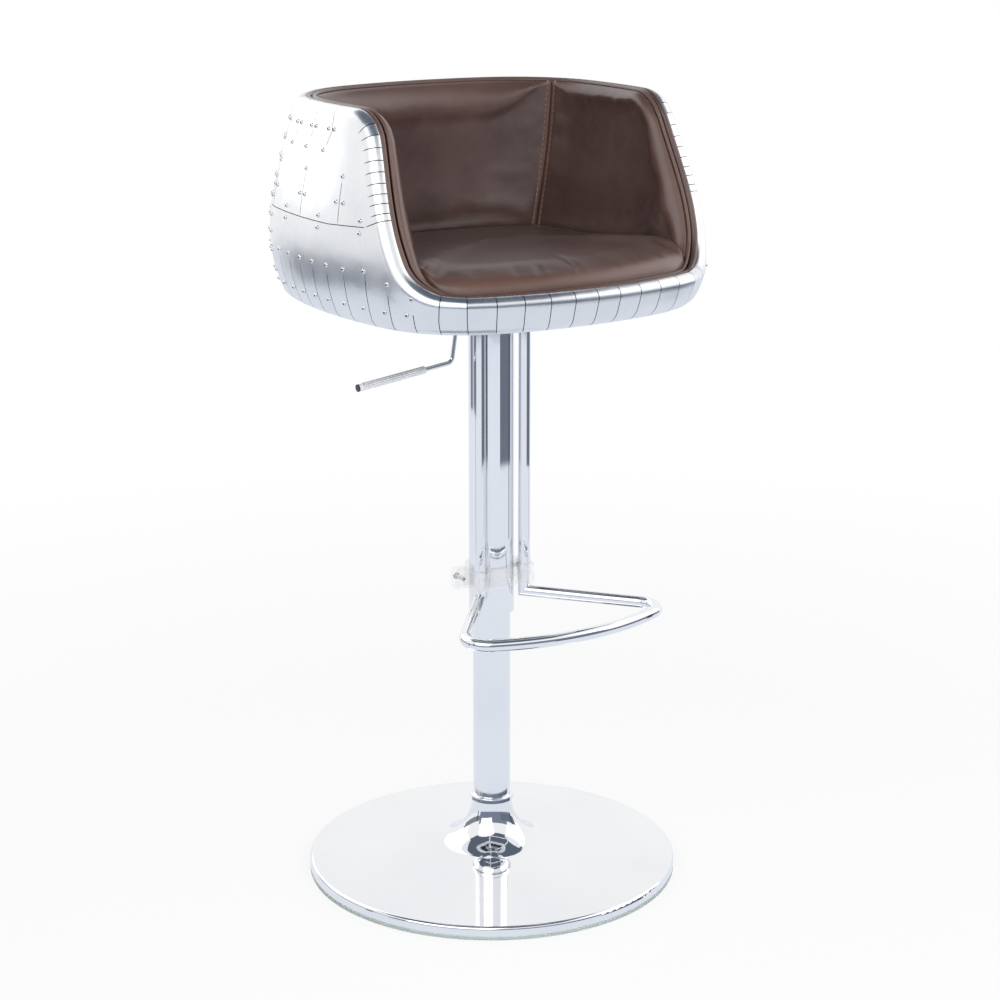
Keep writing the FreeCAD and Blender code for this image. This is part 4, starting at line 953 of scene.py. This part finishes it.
def makeGrip():
    start, end = np.array(grip["start"]), np.array(grip["end"])
    along = unit(end - start)
    length = np.linalg.norm(end - start) - grip["cap"]
    across = np.array([0.0, 1.0, 0.0])
    over = np.cross(along, across)
    turn = np.linspace(0, fullTurn, grip["sides"], endpoint=False)
    hollow = grip["depth"] * (0.5 - 0.5 * np.cos(grip["flutes"] * turn)) ** grip["hollow"]
    sections = [(at, np.full_like(turn, radius)) for at, radius in grip["collar"]]
    first, last = grip["fluteEnd"], length - grip["fluteEnd"]
    for at in np.linspace(first, last, grip["rows"]):
        deep = min(1, (at - first) / grip["fade"], (last - at) / grip["fade"])
        sections.append((at, grip["radius"] - hollow * deep))
    sections += [(length + at, np.full_like(turn, radius)) for at, radius in grip["nose"]]
    ways = np.cos(turn)[:, None] * across + np.sin(turn)[:, None] * over
    points = np.stack([start + along * at + radius[:, None] * ways for at, radius in sections], 1)
    faces = gridFaces(tubeIndex(*points.shape[:2]), True)
    piece = newPiece("leverGrip", points.reshape(-1, 3), faces, "grip")
    outwards(piece)
    piece.data.set_sharp_from_angle(angle=math.radians(grip["sharp"]))
    settle(piece, "lever", ["lever_grip"])
    print("grip made")


# Leather border and piping, swept along the rim

border = {"columns": 460, "profile": (  # inwards from the rim's edge and up, in millimetres
    (13.3, -7.0), (13.0, -3.0), (13.5, -0.9), (14.7, 0.3), (16.6, 0.9), (18.7, 0.6), (20.4, -0.6), (21.5, -2.6),
    (21.9, -5.2), (21.7, -8.5), (13.6, -8.5)),
    "wear": (0, 0.1, 0.25, 0.3, 0.25, 0.15, 0.05, 0, 0, 0, 0)}
piping = {"inset": 0.0258, "drop": 0.0022, "radius": 0.0026, "sides": 14, "wear": 0.2, "topWear": 0.45}


def swept(name, profile, wear):
    row = pick(rim, np.linspace(0, rim["length"], border["columns"], endpoint=False))
    profile = np.array(profile)
    points = (row["edge"][:, None] + row["inward"][:, None] * profile[None, :, :1]
              + row["up"][:, None] * profile[None, :, 1:])
    faces = gridFaces(tubeIndex(*points.shape[:2]), True)
    piece = newPiece(name, points.reshape(-1, 3), faces, "leather")
    setWear(piece, np.tile(wear, border["columns"]))
    outwards(piece)
    return piece


def makeBorder():
    profile = [(a / 1000, b / 1000) for a, b in border["profile"]]
    settle(swept("rimBorder", profile, border["wear"]), "seat", ["rim_border"])
    sides = np.linspace(0, fullTurn, piping["sides"], endpoint=False)
    ring = [(piping["inset"] + piping["radius"] * math.cos(a), -piping["drop"] + piping["radius"] * math.sin(a))
            for a in sides]
    wear = piping["wear"] + piping["topWear"] * np.clip(np.sin(sides), 0, 1)
    settle(swept("rimPiping", ring, wear), "seat", ["rim_piping"])
    print("border and piping swept")


makeGrip()
makeBorder()


# Leather pads of the seat well

pads = {"seamY": 0.138, "seamLean": 0.045, "seamFoot": 0.86, "seamHalf": 0.0006, "thick": 0.010, "cap": 0.006,
        "puff": 0.005, "puffRun": 0.03, "puffTall": 0.04, "deepest": -0.0036,
        "lumbar": 0.006, "lumbarAt": 0.034, "lumbarRun": 0.034, "lumbarEdge": 0.018,
        "edges": (0, 0.0009, 0.0022, 0.0040, 0.0054, 0.0070, 0.010, 0.015, 0.022), "edgeTall": 0.4,
        "edgeShape": (-0.0011, -0.0001, 0.0008, 0.0008, -0.0003, 0.0004, 0.0004, 0.0002, 0.0),
        "topShares": (0.12, 0.25, 0.38, 0.52, 0.66, 0.80, 0.92, 1.0), "topInset": 0.0287, "topDrop": 0.0030,
        "tuckInset": 0.0255, "tuckDrop": 0.0075, "turnDepth": 0.008, "turnShare": 1.3, "least": 0.0003,
        "thinStart": 0.0, "thinRun": 0.145, "step": 0.0075, "armStep": 0.006, "rows": 20, "level": 0.95,
        "armEnd": 0.8480, "endFrom": -0.090, "endRun": 0.05, "endDrop": 0.026,
        "rub": 0.55, "rubAt": 0.0035, "rubRun": 0.0035, "heldTo": 0.004, "heldRun": 0.010}
seat = {"level": 0.852, "angles": 240, "crown": 0.012, "crownRun": 0.13, "clear": 0.0004,
        "seamY": (-0.16, -0.116, -0.076, -0.035, 0.012, 0.058, 0.11, 0.175),
        "seamZ": (0.8675, 0.8653, 0.8607, 0.8561, 0.8518, 0.8490, 0.8485, 0.8490), "seamDrop": 0.003, "seamRun": 0.006,
        "turnFrom": 0.900, "turnOver": 0.045, "frontDrop": 0.002, "frontTop": 0.857, "frontRound": 0.024,
        "insets": (0.033, 0.043, 0.054), "rings": (0.88, 0.76, 0.64, 0.52, 0.40, 0.28, 0.16),
        "skirt": 0.018, "cap": 0.003, "evenFrom": 10, "evening": 14, "peak": 0.0002,
        "rub": 0.5, "frontRub": 0.6, "frontRubAt": 0.007, "frontRubRun": 0.010, "heldTo": 0.003, "heldRun": 0.012}
cover = {"frames": 20, "quality": 5, "mass": 0.25, "stretch": 12, "shear": 4, "bend": 0.6, "pressure": 4,
         "slack": -0.012}


def well(angle, z, inset=0.0):
    # inside of the pads; the arms' pads grow thinner towards the front and end at the piping
    place = wallPoint(angle, z, seatWell, inset)
    ahead = pads["thinStart"] - wallPoint(angle, z, seatWell)[..., 1]
    share = np.clip(ahead / pads["thinRun"], 0, 1)[..., None] ** 2
    return place + (wallPoint(angle, z, inset=pads["topInset"] + inset) - place) * share


def wellNormal(angle, z):
    return wallNormal(angle, z, well)


def seatSeam(y):
    return np.interp(y, seat["seamY"], seat["seamZ"])


def edgeForm(distance):
    return np.interp(distance, pads["edges"], pads["edgeShape"])


def rubbed(form, distance):
    return form["rub"] * np.exp(-((distance - pads["rubAt"]) / pads["rubRun"]) ** 2)


def sewnDown(form, distance):
    return np.clip(1 - (distance - form["heldTo"]) / form["heldRun"], 0, 1)


def seamAngle(z):
    # plan angle, on the sitter's left, of the seam between the back pad and an arm pad
    turn = np.linspace(0.2, 1.45, 400)
    return np.array([np.interp(pads["seamY"] - pads["seamLean"] * max(h - pads["seamFoot"], 0),
                               well(turn, h)[:, 1], turn) for h in np.atleast_1d(z)])


seamLevels = np.linspace(0.83, 1.05, 45)
seamTurn = seamAngle(seamLevels)


def nearRim(inset, drop, places):
    # nearest points of a line that runs along the rim
    line = rim["edge"] + rim["inward"] * inset - rim["up"] * drop
    return line[np.array([np.argmin(np.sum((line - p) ** 2, 1)) for p in places])]


def inflate(piece, hold, cap):
    # a short cloth run with air in the pad; hold is 1 where the cover is sewn down
    group = piece.vertex_groups.new(name="sewn")
    for k, weight in enumerate(hold):
        if weight > 0:
            group.add([k], float(weight), "REPLACE")
    made = piece.modifiers.new("cover", "CLOTH")
    cloth = made.settings
    cloth.vertex_group_mass = "sewn"
    cloth.quality = cover["quality"]
    cloth.mass = cover["mass"]
    cloth.tension_stiffness = cloth.compression_stiffness = cover["stretch"]
    cloth.shear_stiffness = cover["shear"]
    cloth.bending_stiffness = cover["bend"]
    cloth.use_pressure = True
    cloth.uniform_pressure_force = cover["pressure"]
    cloth.shrink_min = cover["slack"]
    cloth.effector_weights.gravity = 0
    made.point_cache.frame_start, made.point_cache.frame_end = 1, cover["frames"]
    before = np.empty(len(piece.data.vertices) * 3)
    piece.data.vertices.foreach_get("co", before)
    for step in range(1, cover["frames"] + 1):
        scene.frame_set(step)
    shown = piece.evaluated_get(bpy.context.evaluated_depsgraph_get()).data
    after = np.empty_like(before)
    shown.vertices.foreach_get("co", after)
    piece.modifiers.clear()
    piece.vertex_groups.clear()
    scene.frame_set(1)
    move = (after - before).reshape(-1, 3)
    length = np.linalg.norm(move, axis=1, keepdims=True)
    move *= np.minimum(1, cap / np.maximum(length, 1e-9)) * (1 - np.asarray(hold))[:, None]
    piece.data.vertices.foreach_set("co", before + move.ravel())
    piece.data.update()
    print(piece.name, "puffed by up to %.1f mm" % (1000 * np.linalg.norm(move, axis=1).max()))


def padEnds(angleAt, count):
    # heights at which the columns of a pad's face meet the seat and turn over towards the piping
    low = np.full(count, seat["level"])
    for _ in range(30):
        y = well(angleAt(low), low)[:, 1]
        drop = pads["endDrop"] * np.clip((pads["endFrom"] - y) / pads["endRun"], 0, 1) ** 2
        low = seatSeam(y) - seat["seamDrop"] - drop

    def turnStart(depth):
        return np.maximum(heightUnderRim(angleAt, count, depth, well), low + pads["least"])

    # the face turns over more widely where the well lies further inside the piping
    depth = np.full(count, 1.5 * pads["turnDepth"])
    for _ in range(4):
        top = turnStart(depth)
        angle = angleAt(top)
        inside = np.sum((wallPoint(angle, top) - well(angle, top)) * wellNormal(angle, top), -1)
        depth = pads["turnDepth"] + pads["turnShare"] * np.maximum(inside - pads["topInset"], 0)
    return low, turnStart(depth)


def padPiece(name, angleAt, sideGap, node, lumbar):
    # closed pad from a plan angle for each column and height; sideGap is each column's distance from its seams
    count = len(sideGap)
    low, top = padEnds(angleAt, count)
    tall = top - low
    squeeze = np.minimum(1, tall * pads["edgeTall"] / pads["edges"][-1])
    rise = [e * squeeze for e in pads["edges"]]
    rise += [rise[-1] + (tall - rise[-1]) * k / pads["rows"] for k in range(1, pads["rows"] + 1)]
    front, back, wear, pinned = [], [], [], []
    for climb in rise:
        z = low + climb
        angle = angleAt(z)
        normal = wellNormal(angle, z)
        sewn = np.minimum(sideGap, climb)
        puff = pads["puff"] * (1 - np.exp(-sewn / pads["puffRun"])) * np.clip(tall / pads["puffTall"], 0, 1)
        puff += (lumbar * np.exp(-((climb - pads["lumbarAt"]) / pads["lumbarRun"]) ** 2)
                 * (1 - np.exp(-sewn / pads["lumbarEdge"])))
        shape = edgeForm(sideGap) + edgeForm(climb / np.maximum(squeeze, 0.05)) * squeeze
        face = well(angle, z)
        front.append(face - normal * (np.maximum(shape, pads["deepest"]) + puff)[:, None])
        back.append(face + normal * pads["thick"])
        wear.append(rubbed(pads, sewn))
        pinned.append(sewnDown(pads, sewn))
    # over the top to the piping, then tucked under it
    start, fixed = front[-1], back[-1]
    angle = angleAt(top)
    normal, face = wellNormal(angle, top), well(angle, top)
    reach = nearRim(pads["topInset"], pads["topDrop"], face) - start
    out = np.sum(reach * normal, -1, keepdims=True) * normal
    sink = -np.minimum(edgeForm(sideGap), 0)[:, None] * normal
    for share in pads["topShares"]:
        quarter = share * math.pi / 2
        spot = start + out * (1 - math.cos(quarter)) + (reach - out) * math.sin(quarter)
        front.append(spot + sink * share * 0.5)
        back.append(fixed + (reach - out) * share * 0.3)
        wear.append(np.full(count, 0.15 + 0.3 * share))
        pinned.append(np.full(count, min(1, share * 1.3)))
    front.append(nearRim(pads["tuckInset"], pads["tuckDrop"], face))
    back.append(back[-1] + (reach - out) * 0.05)
    wear.append(np.zeros(count))
    pinned.append(np.ones(count))
    rows = len(front)
    points = np.concatenate([np.stack(side, 1).reshape(-1, 3) for side in (front, back)])
    a = np.arange(count * rows).reshape(count, rows)
    b = a + count * rows
    faces = gridFaces(a, False) + [f[::-1] for f in gridFaces(b, False)]
    for first, second in ((a[:, 0], b[:, 0]), (b[:, -1], a[:, -1]), (a[0], b[0]), (b[-1], a[-1])):
        faces += gridFaces(np.stack([first, second], 1), False)
    piece = newPiece(name, points, faces, "leather")
    outwards(piece)
    setWear(piece, np.r_[np.stack(wear, 1).ravel(), np.zeros(count * rows)])
    inflate(piece, np.r_[np.stack(pinned, 1).ravel(), np.ones(count * rows)], pads["cap"])
    settle(piece, "seat", [node])
    return piece, a


def makePads():
    level = pads["level"]
    turn0 = float(seamAngle(level)[0])
    edges = np.array(pads["edges"])
    fine = np.linspace(turn0, math.pi - turn0, 600)
    across = runAlong(well(fine, level))
    inner = np.linspace(edges[-1], across[-1] - edges[-1], int((across[-1] - 2 * edges[-1]) / pads["step"]))
    spots = np.r_[edges[:-1], inner, across[-1] - edges[:-1][::-1]]
    share = (np.interp(spots, across, fine) - turn0) / (math.pi - 2 * turn0)
    gap = np.minimum(spots, across[-1] - spots)

    def backAngle(z):
        start = np.interp(z, seamLevels, seamTurn) + pads["seamHalf"]
        return start + share * (math.pi - 2 * start)

    made = [padPiece("padBack", backAngle, gap, "pad_back", pads["lumbar"])]
    # the arm pads stop where the raked rim meets the seat's seam
    fine = np.linspace(turn0, -1.2, 900)
    across = runAlong(well(fine, level))
    reach = heightUnderRim(lambda z: fine, len(fine), 0.0, well)
    end = across[np.nonzero(reach < pads["armEnd"])[0][0]]
    inner = np.linspace(edges[-1], end, int((end - edges[-1]) / pads["armStep"]))
    spots = np.r_[edges[:-1], inner]
    fall = np.interp(spots, across, fine) - turn0

    def leftAngle(z):
        return np.interp(z, seamLevels, seamTurn) - pads["seamHalf"] + fall

    made.append(padPiece("padLeft", leftAngle, spots, "pad_left", 0.0))
    made.append(padPiece("padRight", lambda z: math.pi - leftAngle(z), spots, "pad_right", 0.0))
    print("pads made")
    return made


def makeSeat():
    count = seat["angles"]
    angle = np.linspace(-math.pi / 2, 1.5 * math.pi, count, endpoint=False)
    rimZ = rimHeight(well(angle, seat["level"])[:, 1])
    ahead = np.clip((seat["turnFrom"] - rimZ) / seat["turnOver"], 0, 1)
    ahead = ahead * ahead * (3 - 2 * ahead)
    insets = list(pads["edges"]) + list(seat["insets"])
    rings, wear, hold = [], [np.zeros(count)], [np.ones(count)]

    def height(place, inset):
        # sewn to the pads at the back and sides, rolled over at the front
        seam = seatSeam(place[:, 1])
        side = seam + edgeForm(inset) - seat["seamDrop"] * math.exp(-inset / seat["seamRun"])
        part = np.clip(1 - inset / seat["frontRound"], 0, 1)
        full = seat["frontTop"] + (seam - seat["frontTop"]) * (1 - ahead)
        foot = np.minimum(rimZ - seat["frontDrop"], full)
        nose = foot + (full - foot) * np.sqrt(1 - part ** 2)
        rise = seat["crown"] * (1 - (1 - min(inset / seat["crownRun"], 1)) ** 2)
        return side * (1 - ahead) + nose * ahead + rise

    for inset in insets:
        place = well(angle, seat["level"], inset + seat["clear"])
        place[:, 2] = height(place, inset)
        rings.append(place)
        frontRub = seat["frontRub"] * math.exp(-((inset - seat["frontRubAt"]) / seat["frontRubRun"]) ** 2)
        wear.append(rubbed(seat, inset) * (1 - ahead) + frontRub * ahead)
        hold.append(np.full(count, sewnDown(seat, inset)))
    last = rings[-1].copy()
    centre = np.array([0, last[:, 1].mean(), 0])
    inner = np.linalg.norm(last[:, :2] - centre[:2], axis=1).mean()
    for share in seat["rings"]:
        place = centre + (last - centre) * share
        level = last[:, 2] * share + (1 - share) * (seatSeam(centre[1]) + seat["crown"])
        deep = min(insets[-1] + inner * (1 - share), seat["crownRun"])
        place[:, 2] = np.maximum(level, (height(place, deep) + level) / 2)
        rings.append(place)
        wear.append(np.zeros(count))
        hold.append(np.zeros(count))
    under = rings[0].copy()
    under[:, 2] -= seat["skirt"]
    layers = np.stack([under] + rings, 1)
    rows = layers.shape[1]
    for _ in range(seat["evening"]):
        z = layers[:, :, 2]
        around = np.roll(z, 1, 0) + np.roll(z, -1, 0)
        beside = np.hstack([z[:, :1], z[:, :-1]]) + np.hstack([z[:, 1:], z[:, -1:]])
        layers[:, seat["evenFrom"]:, 2] = ((around + beside) / 4)[:, seat["evenFrom"]:]
    points = np.vstack([layers.reshape(-1, 3), [[0, centre[1], layers[:, -1, 2].mean() + seat["peak"]]],
                        [[0, centre[1], under[:, 2].min()]]])
    index = np.arange(count * rows).reshape(count, rows)
    faces = gridFaces(index, True)
    for j in range(count):
        k = (j + 1) % count
        faces.append([int(index[j, -1]), count * rows, int(index[k, -1])])
        faces.append([int(index[k, 0]), count * rows + 1, int(index[j, 0])])
    piece = newPiece("seatPad", points, faces, "leather")
    outwards(piece)
    setWear(piece, np.r_[np.stack(wear, 1).ravel(), 0, 0])
    inflate(piece, np.r_[np.stack(hold, 1).ravel(), 0, 1], seat["cap"])
    settle(piece, "seat", ["seat_cushion", "front_roll"])
    print("seat made")
    return piece, index, ahead


padGrids = makePads()
seatPad = makeSeat()


# Stitching along the seams

stitches = {"pitch": 0.0075, "radius": 0.0008, "half": 0.0026, "lift": 0.0006, "row": 4, "frontEnd": -0.115,
            "seatAhead": 0.1}


def makeStitches():
    points, edges = [], []

    def line(piece, numbers):
        start = len(points)
        for k in numbers:
            vert = piece.data.vertices[int(k)]
            points.append(vert.co + vert.normal * stitches["lift"])
        edges.extend((start + k, start + k + 1) for k in range(len(numbers) - 1))

    row = stitches["row"]
    (back, backGrid), *arms = padGrids
    top = backGrid.shape[1] - 4
    line(back, backGrid[row, 2:top])
    line(back, backGrid[-1 - row, 2:top])
    line(back, backGrid[2:-2, row])
    for piece, grid in arms:
        line(piece, grid[row, 2:top])
        line(piece, [k for k in grid[2:, row] if piece.data.vertices[int(k)].co.y > stitches["frontEnd"]])
    piece, grid, ahead = seatPad
    line(piece, grid[ahead < stitches["seatAhead"], row + 1])
    made = repeated("seamStitches", stitchTree(), points, edges, {
        "Pitch": stitches["pitch"], "Radius": stitches["radius"], "Half length": stitches["half"]}, "thread")
    settle(made, "seat")
    print("stitches:", len(made.data.polygons), "faces")


makeStitches()
